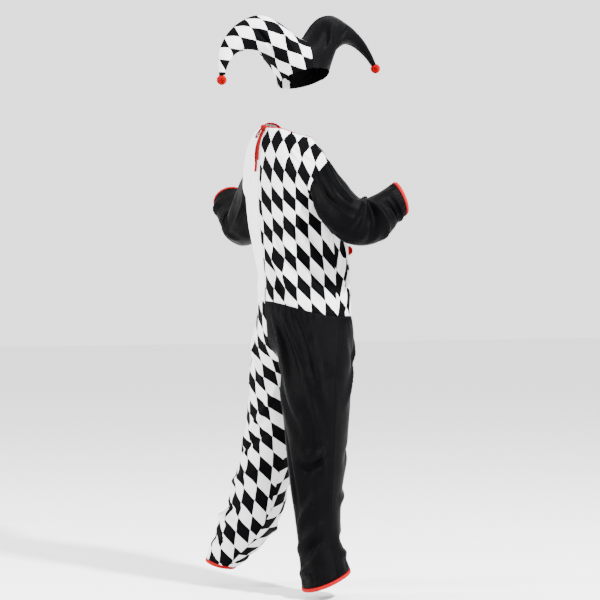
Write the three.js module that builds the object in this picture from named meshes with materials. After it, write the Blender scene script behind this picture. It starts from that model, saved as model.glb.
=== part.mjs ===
// A two-horned jester costume, as it is worn: a one-piece suit with sleeves and legs, and its hat.
// Millimetres, +Z up. The wearer's front is -Y and the wearer's left is +X.
// All tables are in the wearer's frame, whose zero is on the floor under the hips.
// The finished group is moved so that its origin is the centre of the neck opening.
import * as THREE from 'three';

// Cloth
const WALL = 2;
const SEAM_TRIM = 0.15;
const ARMHOLE_TRIM = 0.3;
const BINDING_OUT = 0.6;
const BINDING_IN = 2.6;
const BINDING_GAP = 0.45;
const NECK_BINDING_WIDTH = 7;
const CUFF_BINDING_WIDTH = 11;
const HEM_BINDING_WIDTH = 12;

// Counts of cells
const ACROSS = 10;
const SIDE_ROWS = 8;
const CENTRE_ROWS = 12;
const TORSO_ROWS = 18;
const HIP_ROWS = 6;
const LEG_ROWS = 13;
const SLEEVE_ROWS = 17;
const HAT_RIM_ROWS = 5;
const HAT_ROWS = 16;
const HAT_ACROSS = 7;
const RELAX_PASSES = 3;

// Heights on the body
const WAIST_BACK_Z = 997;
const WAIST_Z = 947;
const ARMPIT_Z = 1325;
const NECK_BACK_Z = 1577;
const NECK_FRONT_Z = 1530;
const NECK_SIDE_Z = { right: 1552, left: 1608 };
const SHOULDER_LIFT = { right: -4, left: 30 };
const NECK_HALF_WIDTH = 90;
const NECK_HALF_DEPTH = 96;
const ORIGIN = new THREE.Vector3(22, 35, 1566);

// Colours
const BLACK = 0x17181a;
const WHITE = 0xf1f1f1;
const CHECK = 0x8a8a8a;
const RED = 0xc8202c;

// The line through the middle of the body: it leans back, and the chest is turned on the hips.
const BODY_LINE = [
  { z: 740, x: 0, y: 0, turn: 0 },
  { z: 900, x: -4, y: -8, turn: -1 },
  { z: 1000, x: -7, y: -12, turn: -3 },
  { z: 1100, x: -7, y: -11, turn: -2 },
  { z: 1205, x: 5, y: 8, turn: 2 },
  { z: 1340, x: 18, y: 29, turn: 5 },
  { z: 1440, x: 21, y: 33, turn: 7 },
  { z: 1620, x: 22, y: 35, turn: 7 },
];

// Half width of the torso, how far its back and front stand from the body line, and how far the
// seam down the front has been pulled aside.
const TORSO_GIRTH = [
  { z: 940, half: 184, back: 152, front: 146, frontX: -18 },
  { z: 1000, half: 176, back: 152, front: 146, frontX: -40 },
  { z: 1100, half: 166, back: 154, front: 142, frontX: -58 },
  { z: 1165, half: 172, back: 151, front: 138, frontX: -66 },
  { z: 1205, half: 182, back: 147, front: 138, frontX: -60 },
  { z: 1340, half: 194, back: 132, front: 134, frontX: -22 },
  { z: 1440, half: 200, back: 124, front: 118, frontX: -4 },
  { z: 1510, half: 200, back: 120, front: 105, frontX: 0 },
  { z: 1578, half: 200, back: 99, front: 96, frontX: 0 },
];
const SIDE_SEAM_Y = -25;

// The armhole from the side seam (at 0) up to the shoulder tip (at 1), and the direction and
// length with which the cloth leaves it.
const ARMHOLE = {
  back: [
    { at: 0, x: 190, y: -25, z: 1325, toX: 0, toY: 86, toZ: 8 },
    { at: 0.15, x: 187, y: 12, z: 1326, toX: -14, toY: 68, toZ: 18 },
    { at: 0.3, x: 185, y: 44, z: 1338, toX: -34, toY: 52, toZ: 32 },
    { at: 0.45, x: 186, y: 57, z: 1364, toX: -50, toY: 44, toZ: 40 },
    { at: 0.6, x: 191, y: 50, z: 1395, toX: -58, toY: 44, toZ: 42 },
    { at: 0.8, x: 201, y: 27, z: 1434, toX: -54, toY: 30, toZ: 38 },
    { at: 1, x: 213, y: 0, z: 1468, toX: -40, toY: 0, toZ: 32 },
  ],
  front: [
    { at: 0, x: 190, y: -25, z: 1325, toX: 0, toY: -60, toZ: 8 },
    { at: 0.15, x: 187, y: -50, z: 1328, toX: -18, toY: -46, toZ: 16 },
    { at: 0.3, x: 183, y: -70, z: 1343, toX: -34, toY: -34, toZ: 20 },
    { at: 0.45, x: 182, y: -74, z: 1370, toX: -46, toY: -28, toZ: 18 },
    { at: 0.6, x: 186, y: -62, z: 1398, toX: -50, toY: -26, toZ: 0 },
    { at: 0.8, x: 199, y: -33, z: 1435, toX: -48, toY: -14, toZ: 0 },
    { at: 1, x: 213, y: 0, z: 1468, toX: -40, toY: 0, toZ: 32 },
  ],
};

// The direction and length with which the cloth leaves the centre line and then the neckline,
// by row of the torso. The front drops away from the neck more than the back.
const CENTRE_PULL = [
  { row: 0, x: 0.56, y: 0, z: 0, drop: 0 },
  { row: 8, x: 0.58, y: 0, z: 0, drop: 0 },
  { row: 12, x: 0.44, y: 0.02, z: 0.01, drop: 0 },
  { row: 15, x: 0.2, y: 0.14, z: -0.02, drop: 0.12 },
  { row: 17, x: 0.2, y: 0.06, z: -0.03, drop: 0.1 },
  { row: 18, x: 0.22, y: 0, z: -0.03, drop: 0 },
];
const PULL_SCALE = 200;
const SEAM_SLANT = 0.0085;
const ARMPIT_DIP = 70;

// From the waist seam (at 0) to the crotch (at 1): the seam between the legs, the outer side, and
// the pull of the cloth at both.
const HIPS = [
  { at: 0.33, seamX: 0, back: 143, front: 141, seamBackZ: 912, seamFrontZ: 878, right: 205, left: 204,
    sideY: -18, sideZ: 880, pullX: 116, pullY: 8, sidePull: 90 },
  { at: 0.66, seamX: 4, back: 116, front: 112, seamBackZ: 832, seamFrontZ: 812, right: 212, left: 220,
    sideY: -10, sideZ: 812, pullX: 102, pullY: 42, sidePull: 110 },
  { at: 1, seamX: 12, back: 0, front: 0, seamBackZ: 742, seamFrontZ: 742, right: 215, left: 242,
    sideY: -3, sideZ: 742, pullX: 24, pullY: 155, sidePull: 155 },
];

// The middle line of each leg, and how far its four sides stand from it.
const LEG = {
  right: [
    { z: 740, x: -102, y: -5, out: 116, in: 114, back: 118, front: 118, tip: 0 },
    { z: 660, x: -98, y: -4, out: 118, in: 116, back: 118, front: 119, tip: 0 },
    { z: 560, x: -97, y: -4, out: 108, in: 107, back: 108, front: 108, tip: 0 },
    { z: 450, x: -97, y: -5, out: 99, in: 99, back: 100, front: 99, tip: 0 },
    { z: 353, x: -98, y: -6, out: 88, in: 88, back: 90, front: 87, tip: 0 },
    { z: 262, x: -100, y: -9, out: 77, in: 77, back: 78, front: 77, tip: 3 },
    { z: 165, x: -104, y: -14, out: 75, in: 74, back: 74, front: 76, tip: 8 },
    { z: 110, x: -110, y: -22, out: 81, in: 82, back: 82, front: 86, tip: 7 },
    { z: 69, x: -114, y: -31, out: 80, in: 84, back: 85, front: 88, tip: 9 },
  ],
  left: [
    { z: 740, x: 127, y: -3, out: 115, in: 115, back: 114, front: 114, tip: 0 },
    { z: 654, x: 147, y: -1, out: 104, in: 105, back: 104, front: 104, tip: 0 },
    { z: 570, x: 170, y: -2, out: 101, in: 102, back: 101, front: 101, tip: 0 },
    { z: 500, x: 190, y: -1, out: 102, in: 102, back: 100, front: 104, tip: 0 },
    { z: 417, x: 206, y: 13, out: 98, in: 99, back: 98, front: 99, tip: 0 },
    { z: 336, x: 220, y: 30, out: 99, in: 101, back: 98, front: 100, tip: 0 },
    { z: 275, x: 229, y: 42, out: 97, in: 104, back: 96, front: 106, tip: 0 },
    { z: 204, x: 252, y: 70, out: 93, in: 92, back: 94, front: 92, tip: 0 },
    { z: 146, x: 274, y: 98, out: 84, in: 77, back: 86, front: 76, tip: 0 },
    { z: 112, x: 291, y: 122, out: 68, in: 64, back: 68, front: 64, tip: -6 },
    { z: 84, x: 299, y: 135, out: 55, in: 54, back: 56, front: 55, tip: -12 },
  ],
};

// Each arm as two straight stretches with a round bend between them. The cuff is cut back by slant
// on the outside of the bend.
const ARM = {
  right: { start: [8, 12, -8], elbow: [-306, -40, 1228], cuff: [-312, -201, 1343], bend: 70, slant: 36 },
  left: { start: [0, 0, 0], elbow: [404, -14, 1254], cuff: [556, -45, 1363], bend: 84, slant: 0 },
};
// Half sizes of the sleeve along the arm (at 0 is the armhole, at 1 the cuff): across the plane in
// which the arm bends, the same towards the body, and on the outside and inside of the bend.
const SLEEVE = {
  right: [
    { at: 0, across: 74, under: 41, outside: 78, inside: 72 },
    { at: 0.15, across: 73, under: 41, outside: 78, inside: 69 },
    { at: 0.3, across: 72, under: 56, outside: 78, inside: 64 },
    { at: 0.5, across: 71, under: 71, outside: 88, inside: 79 },
    { at: 0.62, across: 69, under: 69, outside: 80, inside: 79 },
    { at: 0.75, across: 63, under: 63, outside: 62, inside: 64 },
    { at: 0.9, across: 59, under: 59, outside: 60, inside: 54 },
    { at: 1, across: 57, under: 57, outside: 58, inside: 51 },
  ],
  left: [
    { at: 0, across: 76, under: 64, outside: 76, inside: 74 },
    { at: 0.3, across: 74, under: 68, outside: 76, inside: 70 },
    { at: 0.5, across: 72, under: 72, outside: 79, inside: 66 },
    { at: 0.62, across: 69, under: 69, outside: 77, inside: 64 },
    { at: 0.78, across: 65, under: 65, outside: 64, inside: 61 },
    { at: 0.92, across: 64, under: 64, outside: 60, inside: 60 },
    { at: 1, across: 62, under: 62, outside: 58, inside: 58 },
  ],
};
const SLEEVE_EASE = 0.24;

// The large folds: each is a soft ridge (rise over 0) or trough (rise under 0) from one place of a
// panel to another. Places and widths are in cells: how far down or up the rows, and how far across.
const FOLDS = [
  { panel: 'torso_back_left', from: [8.8, 2.8], to: [1.4, 1.8], wide: 0.75, rise: -6 },
  { panel: 'torso_back_left', from: [9, 4.6], to: [2, 3.4], wide: 0.9, rise: 4 },
  { panel: 'torso_back_left', from: [10, 7.6], to: [4, 6.2], wide: 0.9, rise: -5 },
  { panel: 'torso_back_right', from: [6.6, 4.6], to: [3, 8.8], wide: 0.75, rise: 5 },
  { panel: 'torso_back_right', from: [5.8, 3.6], to: [2, 8], wide: 0.7, rise: -5 },
  { panel: 'torso_back_right', from: [4.8, 2.6], to: [1.2, 6.8], wide: 0.75, rise: 5 },
  { panel: 'torso_back_right', from: [12, 7], to: [14, 3], wide: 0.9, rise: -4 },
  { panel: 'torso_front_right', from: [5.6, 6.6], to: [2.4, 8.6], wide: 0.8, rise: -4 },
  { panel: 'torso_front_right', from: [10.5, 7], to: [7, 3], wide: 0.9, rise: -5 },
  { panel: 'torso_front_left', from: [10.4, 7], to: [5, 3], wide: 0.9, rise: -6 },
  { panel: 'torso_front_left', from: [8, 8], to: [3, 5], wide: 0.9, rise: 5 },
  { panel: 'torso_front_left', from: [5.4, 8], to: [1.8, 6], wide: 0.8, rise: -5 },
  { panel: 'leg_right_back', from: [1, 3.4], to: [6.4, 8.8], wide: 0.7, rise: 5 },
  { panel: 'leg_right_back', from: [1.6, 2], to: [5.4, 5.6], wide: 0.7, rise: -6 },
  { panel: 'leg_right_back', from: [4, 4.6], to: [8.8, 8.2], wide: 0.7, rise: -6 },
  { panel: 'leg_right_back', from: [8.8, 8.2], to: [14.6, 6.8], wide: 0.75, rise: -6 },
  { panel: 'leg_right_back', from: [8.4, 5.6], to: [13.6, 5], wide: 0.8, rise: 5 },
  { panel: 'leg_right_back', from: [18, 6], to: [16.8, 9.2], wide: 0.6, rise: 5 },
  { panel: 'leg_right_back', from: [17, 4.6], to: [15.8, 8.6], wide: 0.6, rise: -4 },
  { panel: 'leg_right_front', from: [2, 8], to: [7, 4], wide: 0.8, rise: -6 },
  { panel: 'leg_right_front', from: [9, 4], to: [12.4, 7], wide: 0.8, rise: 5 },
  { panel: 'leg_right_front', from: [17.6, 2], to: [16.8, 7], wide: 0.7, rise: -5 },
  { panel: 'leg_left_back', from: [2, 7], to: [7, 4], wide: 0.8, rise: -5 },
  { panel: 'leg_left_back', from: [10, 6], to: [14, 3.6], wide: 0.8, rise: 5 },
  { panel: 'leg_left_back', from: [17.4, 2], to: [17.6, 8], wide: 0.6, rise: 5 },
  { panel: 'leg_left_front', from: [2, 7.6], to: [7, 4.4], wide: 0.8, rise: -6 },
  { panel: 'leg_left_front', from: [9, 3], to: [13, 6.6], wide: 0.8, rise: -5 },
  { panel: 'leg_left_front', from: [17.4, 3], to: [17.6, 8], wide: 0.6, rise: 5 },
  { panel: 'sleeve_right', from: [2, 8.2], to: [8, 7.2], wide: 0.9, rise: 4 },
  { panel: 'sleeve_right', from: [2, 6], to: [8.4, 5.4], wide: 0.9, rise: -5 },
  { panel: 'sleeve_right', from: [12, 2.6], to: [12.8, 7], wide: 0.7, rise: 4 },
  { panel: 'sleeve_right', from: [14, 3], to: [14.6, 7.4], wide: 0.7, rise: -3 },
  { panel: 'sleeve_left', from: [2, 6], to: [8, 4.4], wide: 0.9, rise: -5 },
  { panel: 'sleeve_left', from: [3, 13], to: [8, 14.6], wide: 0.9, rise: -5 },
  { panel: 'sleeve_left', from: [13, 3], to: [13.6, 7], wide: 0.7, rise: 4 },
];

// The hat, in its own frame: side is towards the wearer's left, front is where the head looks.
// Its seam has slipped to the right by a small turn at the front of the rim.
const HAT_PLACE = { x: -6, y: -10, turn: -95 };
const HAT_RIM = { side: 82, depth: 102, z: 1753, frontRise: 25, leftRise: 8, upright: 66 };
const FRONT_SEAM_TURN = 0.22;
// Each horn, from the seam over the head (at 0) to its tip (at 1): its lower edge, its upper edge,
// and half its depth. The lower edge starts on the rim.
const HORN = {
  right: [
    { at: 0, lowSide: 60, lowZ: 1704, topSide: 10, topZ: 1878, depth: 104 },
    { at: 0.12, lowSide: 74, lowZ: 1716, topSide: 52, topZ: 1905, depth: 92 },
    { at: 0.31, lowSide: 92, lowZ: 1742, topSide: 118, topZ: 1948, depth: 78 },
    { at: 0.45, lowSide: 120, lowZ: 1793, topSide: 176, topZ: 1953, depth: 62 },
    { at: 0.58, lowSide: 160, lowZ: 1828, topSide: 228, topZ: 1932, depth: 48 },
    { at: 0.7, lowSide: 214, lowZ: 1836, topSide: 270, topZ: 1899, depth: 36 },
    { at: 0.8, lowSide: 250, lowZ: 1826, topSide: 298, topZ: 1860, depth: 27 },
    { at: 0.9, lowSide: 281, lowZ: 1793, topSide: 315, topZ: 1808, depth: 18 },
    { at: 1, lowSide: 295, lowZ: 1748, topSide: 312, topZ: 1745, depth: 9 },
  ],
  left: [
    { at: 0, lowSide: 80, lowZ: 1730, topSide: -10, topZ: 1878, depth: 104 },
    { at: 0.12, lowSide: 84, lowZ: 1744, topSide: 25, topZ: 1930, depth: 92 },
    { at: 0.31, lowSide: 88, lowZ: 1772, topSide: 66, topZ: 1964, depth: 76 },
    { at: 0.45, lowSide: 99, lowZ: 1828, topSide: 112, topZ: 1972, depth: 60 },
    { at: 0.58, lowSide: 124, lowZ: 1860, topSide: 158, topZ: 1953, depth: 46 },
    { at: 0.7, lowSide: 166, lowZ: 1884, topSide: 199, topZ: 1926, depth: 34 },
    { at: 0.8, lowSide: 202, lowZ: 1872, topSide: 230, topZ: 1897, depth: 25 },
    { at: 0.9, lowSide: 240, lowZ: 1844, topSide: 259, topZ: 1858, depth: 16 },
    { at: 1, lowSide: 267, lowZ: 1812, topSide: 280, topZ: 1817, depth: 8 },
  ],
};

// Pompoms: a core, and a lock of yarn on each of its faces.
const POMPOM = { core: 12, reach: 18.5, bare: 0.7, seatOnTip: { right: 13.7, left: 13 }, seatOnCloth: 12.7 };
const FRONT_POMPOM_ROWS = [4, 5];

// The tie at the back of the neck.
const KNOT = { width: 17, height: 12, depth: 10, up: 1 };
const RIBBON = { width: 7, thick: 2 };
const LOOP = { length: 40, width: 15, lift: 3.2, way: [0.6, 0.16, -0.78] };
// Each tail of the ribbon hangs down the back, beside the seam and clear of the cloth.
const TAILS = {
  long: [
    { z: 1574, x: 5, clear: 4.4 },
    { z: 1548, x: 11, clear: 5 },
    { z: 1520, x: 15, clear: 5 },
    { z: 1490, x: 16, clear: 5 },
    { z: 1460, x: 14, clear: 5 },
    { z: 1431, x: 15, clear: 6 },
  ],
  short: [
    { z: 1573.8, x: -4, clear: 4.4 },
    { z: 1548, x: 1, clear: 6 },
    { z: 1520, x: 5, clear: 5 },
    { z: 1495, x: 4, clear: 5 },
    { z: 1470, x: 6, clear: 5 },
  ],
};

const vec = (x, y, z) => new THREE.Vector3(x, y, z);
const along = (a, b, t) => a.clone().lerp(b, t);

// The columns of a table at one value of its key column, on a smooth curve through its rows.
function read(table, key, value) {
  const last = table.length - 1;
  const rising = table[last][key] > table[0][key] ? 1 : -1;
  let i = 0;
  while (i < last - 1 && (table[i + 1][key] - value) * rising < 0) i += 1;
  const slope = (a, b, name) => (table[b][name] - table[a][name]) / (table[b][key] - table[a][key]);
  const span = table[i + 1][key] - table[i][key];
  const t = THREE.MathUtils.clamp((value - table[i][key]) / span, 0, 1);
  const result = {};
  for (const name of Object.keys(table[0])) {
    const here = slope(i, i + 1, name);
    const before = i > 0 ? slope(i - 1, i + 1, name) : here;
    const after = i < last - 1 ? slope(i, i + 2, name) : here;
    const a = 2 * t ** 3 - 3 * t ** 2 + 1;
    const b = t ** 3 - 2 * t ** 2 + t;
    const c = -2 * t ** 3 + 3 * t ** 2;
    const d = t ** 3 - t ** 2;
    result[name] = a * table[i][name] + b * span * before + c * table[i + 1][name] + d * span * after;
  }
  return result;
}

// A point of the torso, given beside the body line, set in the wearer's frame.
function onBody(x, y, z) {
  const line = read(BODY_LINE, 'z', z);
  const turn = THREE.MathUtils.degToRad(line.turn);
  const c = Math.cos(turn);
  const s = Math.sin(turn);
  return vec(line.x + c * x - s * y, line.y + s * x + c * y, z);
}

// One row of cloth: a cubic curve from start to end, with its pulls at both ends.
function row(start, startPull, end, endPull, cells) {
  const curve = new THREE.CubicBezierCurve3(
    start,
    start.clone().add(startPull),
    end.clone().add(endPull),
    end,
  );
  return curve.getPoints(cells);
}

// Evens out the points inside a panel and leaves its edges where they are.
function relaxed(rows, passes) {
  let now = rows;
  for (let pass = 0; pass < passes; pass += 1) {
    now = now.map((points, r) => points.map((p, c) => {
      if (r === 0 || r === now.length - 1 || c === 0 || c === points.length - 1) return p;
      const around = now[r - 1][c].clone().add(now[r + 1][c]).add(points[c - 1]).add(points[c + 1]);
      return along(p, around.divideScalar(4), 0.5);
    }));
  }
  return now;
}

// Torso
function torsoPanel(side, face) {
  const out = side === 'left' ? 1 : -1;
  const away = face === 'back' ? 1 : -1;
  const low = face === 'back' ? WAIST_BACK_Z : WAIST_Z;
  const high = face === 'back' ? NECK_BACK_Z : NECK_FRONT_Z;
  const rows = [];
  for (let r = 0; r <= TORSO_ROWS; r += 1) {
    const pull = read(CENTRE_PULL, 'row', r);
    let start;
    if (r <= CENTRE_ROWS) {
      const z = low + (high - low) * (r / CENTRE_ROWS);
      const girth = read(TORSO_GIRTH, 'z', z);
      start = vec(face === 'front' ? out * girth.frontX : 0, away * girth[face], z);
    } else {
      const angle = ((r - CENTRE_ROWS) / (TORSO_ROWS - CENTRE_ROWS)) * (Math.PI / 2);
      const z = high + (NECK_SIDE_Z[side] - high) * Math.sin(angle) ** 4;
      start = vec(NECK_HALF_WIDTH * Math.sin(angle), away * NECK_HALF_DEPTH * Math.cos(angle), z);
    }
    let end;
    let endPull;
    if (r <= SIDE_ROWS) {
      const z = WAIST_Z + (ARMPIT_Z - WAIST_Z) * (r / SIDE_ROWS);
      const girth = read(TORSO_GIRTH, 'z', z);
      end = vec(girth.half, SIDE_SEAM_Y, z);
      const dip = -ARMPIT_DIP * (r / SIDE_ROWS) ** 3;
      endPull = vec(0, away * 0.5 * (girth[face] + away * -SIDE_SEAM_Y), dip);
      if (r === SIDE_ROWS) end.x = ARMHOLE[face][0].x;
    } else {
      const at = (r - SIDE_ROWS) / (TORSO_ROWS - SIDE_ROWS);
      const hole = read(ARMHOLE[face], 'at', at);
      end = vec(hole.x, hole.y, hole.z + SHOULDER_LIFT[side] * at);
      endPull = vec(hole.toX, hole.toY, hole.toZ);
    }
    const drop = face === 'front' ? pull.drop : 0;
    const startPull = vec(pull.x, away * pull.y, pull.z - drop).multiplyScalar(PULL_SCALE);
    if (r <= CENTRE_ROWS) startPull.y += SEAM_SLANT * start.x * startPull.x;
    const points = row(start, startPull, end, endPull, ACROSS);
    rows.push(points.map((p) => onBody(out * p.x, p.y, p.z)));
  }
  return relaxed(rows, RELAX_PASSES);
}

// Legs: above the crotch a row runs from the seat seam to the side, below it from the inner to the
// outer seam, half round the leg.
function hipRow(side, face, at) {
  const out = side === 'left' ? 1 : -1;
  const away = face === 'back' ? 1 : -1;
  const waist = {
    at: 0, seamX: 0, back: 152, front: 152, seamBackZ: WAIST_BACK_Z, seamFrontZ: WAIST_Z, right: 183,
    left: 183, sideY: SIDE_SEAM_Y, sideZ: WAIST_Z, pullX: 112, pullY: 0, sidePull: 88,
  };
  const h = read([waist, ...HIPS], 'at', at);
  const seamZ = face === 'back' ? h.seamBackZ : h.seamFrontZ;
  const start = onBody(h.seamX, away * h[face], seamZ);
  const end = onBody(out * h[side], h.sideY, h.sideZ);
  const startPull = vec(out * h.pullX, away * h.pullY, 0);
  const endPull = vec(0, away * h.sidePull, 0);
  return row(start, startPull, end, endPull, ACROSS);
}

function legFrame(side, z) {
  const here = read(LEG[side], 'z', z);
  const step = 12;
  const above = read(LEG[side], 'z', z + step);
  const below = read(LEG[side], 'z', z - step);
  const axis = vec(above.x - below.x, above.y - below.y, above.z - below.z).normalize();
  const outward = vec(side === 'left' ? 1 : -1, 0, 0);
  outward.addScaledVector(axis, -outward.dot(axis)).normalize();
  const back = side === 'left' ? axis.clone().cross(outward) : outward.clone().cross(axis);
  const tip = THREE.MathUtils.degToRad(here.tip);
  back.applyAxisAngle(outward, tip);
  return { here, centre: vec(here.x, here.y, here.z), outward, back };
}

function legRow(side, face, z) {
  const { here, centre, outward, back } = legFrame(side, z);
  const away = face === 'back' ? 1 : -1;
  const pull = back.clone().multiplyScalar((away * 4 * here[face]) / 3);
  const start = centre.clone().addScaledVector(outward, -here.in);
  const end = centre.clone().addScaledVector(outward, here.out);
  return row(start, pull, end, pull, ACROSS);
}

function legPanel(side, face, waistRow) {
  const rows = [waistRow];
  for (let r = 1; r <= HIP_ROWS; r += 1) rows.push(hipRow(side, face, r / HIP_ROWS));
  const crotch = HIPS[HIPS.length - 1].sideZ;
  const hem = LEG[side][LEG[side].length - 1].z;
  for (let r = 1; r <= LEG_ROWS; r += 1) {
    const t = r / LEG_ROWS;
    rows.push(legRow(side, face, crotch + (hem - crotch) * t));
  }
  return relaxed(rows, RELAX_PASSES);
}

// Sleeves
function armLine(side, start) {
  const arm = ARM[side];
  const elbow = vec(...arm.elbow);
  const cuff = vec(...arm.cuff);
  const upper = elbow.clone().sub(start).normalize();
  const fore = cuff.clone().sub(elbow).normalize();
  const axis = upper.clone().cross(fore).normalize();
  const angle = upper.angleTo(fore);
  const cut = arm.bend * Math.tan(angle / 2);
  const bendStart = elbow.clone().addScaledVector(upper, -cut);
  const lengths = [bendStart.distanceTo(start), arm.bend * angle, cuff.distanceTo(elbow) - cut];
  const total = lengths[0] + lengths[1] + lengths[2];
  return (at) => {
    const far = at * total;
    if (far <= lengths[0]) {
      return { axis, tangent: upper.clone(), point: start.clone().addScaledVector(upper, far) };
    }
    if (far >= lengths[0] + lengths[1]) {
      const rest = total - far;
      return { axis, tangent: fore.clone(), point: cuff.clone().addScaledVector(fore, -rest) };
    }
    const turned = (far - lengths[0]) / arm.bend;
    const inward = axis.clone().cross(upper);
    const centre = bendStart.clone().addScaledVector(inward, arm.bend);
    const arm0 = inward.clone().multiplyScalar(-arm.bend).applyAxisAngle(axis, turned);
    return { axis, tangent: upper.clone().applyAxisAngle(axis, turned), point: centre.add(arm0) };
  };
}

// The loop of the armhole: from the side seam up the back to the shoulder, and down the front.
function armholeLoop(back, front) {
  const up = back.slice(SIDE_ROWS).map((points) => points[ACROSS]);
  const down = front.slice(SIDE_ROWS + 1, TORSO_ROWS).map((points) => points[ACROSS]);
  return [...up, ...down.reverse()];
}

function sleeveRings(side, loop) {
  const start = loop.reduce((sum, p) => sum.add(p), vec(0, 0, 0)).divideScalar(loop.length);
  start.add(vec(...ARM[side].start));
  const line = armLine(side, start);
  const first = line(0);
  const outside0 = first.tangent.clone().cross(first.axis);
  const under = loop[0].clone().sub(loop[loop.length / 2]);
  const base = Math.atan2(under.dot(outside0), under.dot(first.axis));
  const behind = loop[loop.length / 4].clone().sub(loop[(3 * loop.length) / 4]);
  const quarter = Math.atan2(behind.dot(outside0), behind.dot(first.axis));
  const sense = Math.sin(quarter - base) > 0 ? 1 : -1;
  const rings = [loop.map((p) => p.clone())];
  for (let j = 1; j <= SLEEVE_ROWS; j += 1) {
    const at = j / SLEEVE_ROWS;
    const size = read(SLEEVE[side], 'at', at);
    const { point, tangent, axis } = line(at);
    const outside = tangent.clone().cross(axis);
    const blend = THREE.MathUtils.smoothstep(at, 0, SLEEVE_EASE);
    const slant = ARM[side].slant * THREE.MathUtils.smoothstep(at, 0.7, 1);
    const carried = point.clone().sub(start);
    rings.push(loop.map((p, i) => {
      const angle = base + (sense * i * 2 * Math.PI) / loop.length;
      const c = Math.cos(angle);
      const s = Math.sin(angle);
      const ring = point.clone()
        .addScaledVector(axis, (c > 0 ? size.across : size.under) * c)
        .addScaledVector(outside, (s > 0 ? size.outside : size.inside) * s)
        .addScaledVector(tangent, (-slant * (1 + s)) / 2);
      return along(p.clone().add(carried), ring, blend);
    }));
  }
  return rings;
}

// Hat
function onHat(side, front, z) {
  const turn = THREE.MathUtils.degToRad(HAT_PLACE.turn);
  const c = Math.cos(turn);
  const s = Math.sin(turn);
  return vec(HAT_PLACE.x + c * side + s * front, HAT_PLACE.y + s * side - c * front, z);
}

function hatPanel(side, face) {
  const out = side === 'left' ? 1 : -1;
  const away = face === 'front' ? 1 : -1;
  const rows = [];
  const rimShare = HAT_RIM_ROWS / HAT_ROWS;
  for (let r = 0; r <= HAT_ROWS; r += 1) {
    const at = r / HAT_ROWS;
    const h = read(HORN[side], 'at', at);
    const start = vec(out * h.lowSide, 0, h.lowZ);
    const pull = vec(0, (away * 4 * h.depth) / 3, 0);
    const topPull = pull.clone();
    if (r <= HAT_RIM_ROWS) {
      const first = face === 'front' ? -out * FRONT_SEAM_TURN : 0;
      const angle = first + (at / rimShare) * (Math.PI / 2 - first);
      start.x = out * HAT_RIM.side * Math.sin(angle);
      start.y = away * HAT_RIM.depth * Math.cos(angle);
      const rise = (HAT_RIM.frontRise * start.y) / HAT_RIM.depth;
      start.z = HAT_RIM.z + rise + (HAT_RIM.leftRise * start.x) / HAT_RIM.side;
      const upright = Math.cos(angle);
      pull.multiplyScalar(1 - upright).setZ(HAT_RIM.upright * upright);
      topPull.multiplyScalar(1 - 0.62 * upright);
    }
    const end = vec(out * Math.abs(h.topSide), 0, h.topZ);
    if (h.topSide < 0) end.x = -out * Math.abs(h.topSide);
    const points = row(start, pull, end, topPull, HAT_ACROSS);
    rows.push(points.map((p) => onHat(p.x, p.y, p.z)));
  }
  return relaxed(rows, RELAX_PASSES);
}

// Panels that share a seam share its points, so the walls on both sides meet at one mitre.
const keyOf = (p) => [p.x, p.y, p.z].map((k) => Math.round(k * 1000) || 0).join();

function gather(grids) {
  const shared = new Map();
  for (const grid of grids) {
    const { rows, closed, flip } = grid;
    const width = rows[0].length;
    const columns = closed ? width : width - 1;
    for (let r = 0; r < rows.length - 1; r += 1) {
      for (let c = 0; c < columns; c += 1) {
        const corners = [rows[r][c], rows[r][(c + 1) % width], rows[r + 1][(c + 1) % width], rows[r + 1][c]];
        const across = corners[2].clone().sub(corners[0]);
        const normal = across.cross(corners[3].clone().sub(corners[1])).multiplyScalar(flip ? -1 : 1);
        for (const p of corners) {
          const key = keyOf(p);
          if (!shared.has(key)) shared.set(key, vec(0, 0, 0));
          shared.get(key).add(normal);
        }
      }
    }
  }
  for (const normal of shared.values()) normal.normalize();
  return shared;
}

// How far the folds lift one point of a panel. They die out at its seams.
function foldAt(grid, r, c) {
  const rowsLeft = Math.min(r, grid.rows.length - 1 - r);
  const cellsLeft = grid.closed ? rowsLeft : Math.min(rowsLeft, c, grid.rows[0].length - 1 - c);
  const here = vec(r, c, 0);
  let rise = 0;
  for (const fold of grid.folds) {
    const line = new THREE.Line3(vec(...fold.from, 0), vec(...fold.to, 0));
    const t = line.closestPointToPointParameter(here, true);
    const far = line.at(t, vec(0, 0, 0)).distanceTo(here);
    const ends = Math.min(1, 0.25 + 3 * Math.min(t, 1 - t));
    rise += fold.rise * ends * Math.exp(-((far / fold.wide) ** 2));
  }
  return rise * Math.min(1, cellsLeft / 2);
}

function geometryOf(points, triangles) {
  const geometry = new THREE.BufferGeometry();
  const positions = points.flatMap((p) => [p.x, p.y, p.z]);
  geometry.setAttribute('position', new THREE.Float32BufferAttribute(positions, 3));
  geometry.setIndex(triangles.flat());
  return geometry;
}

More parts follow.
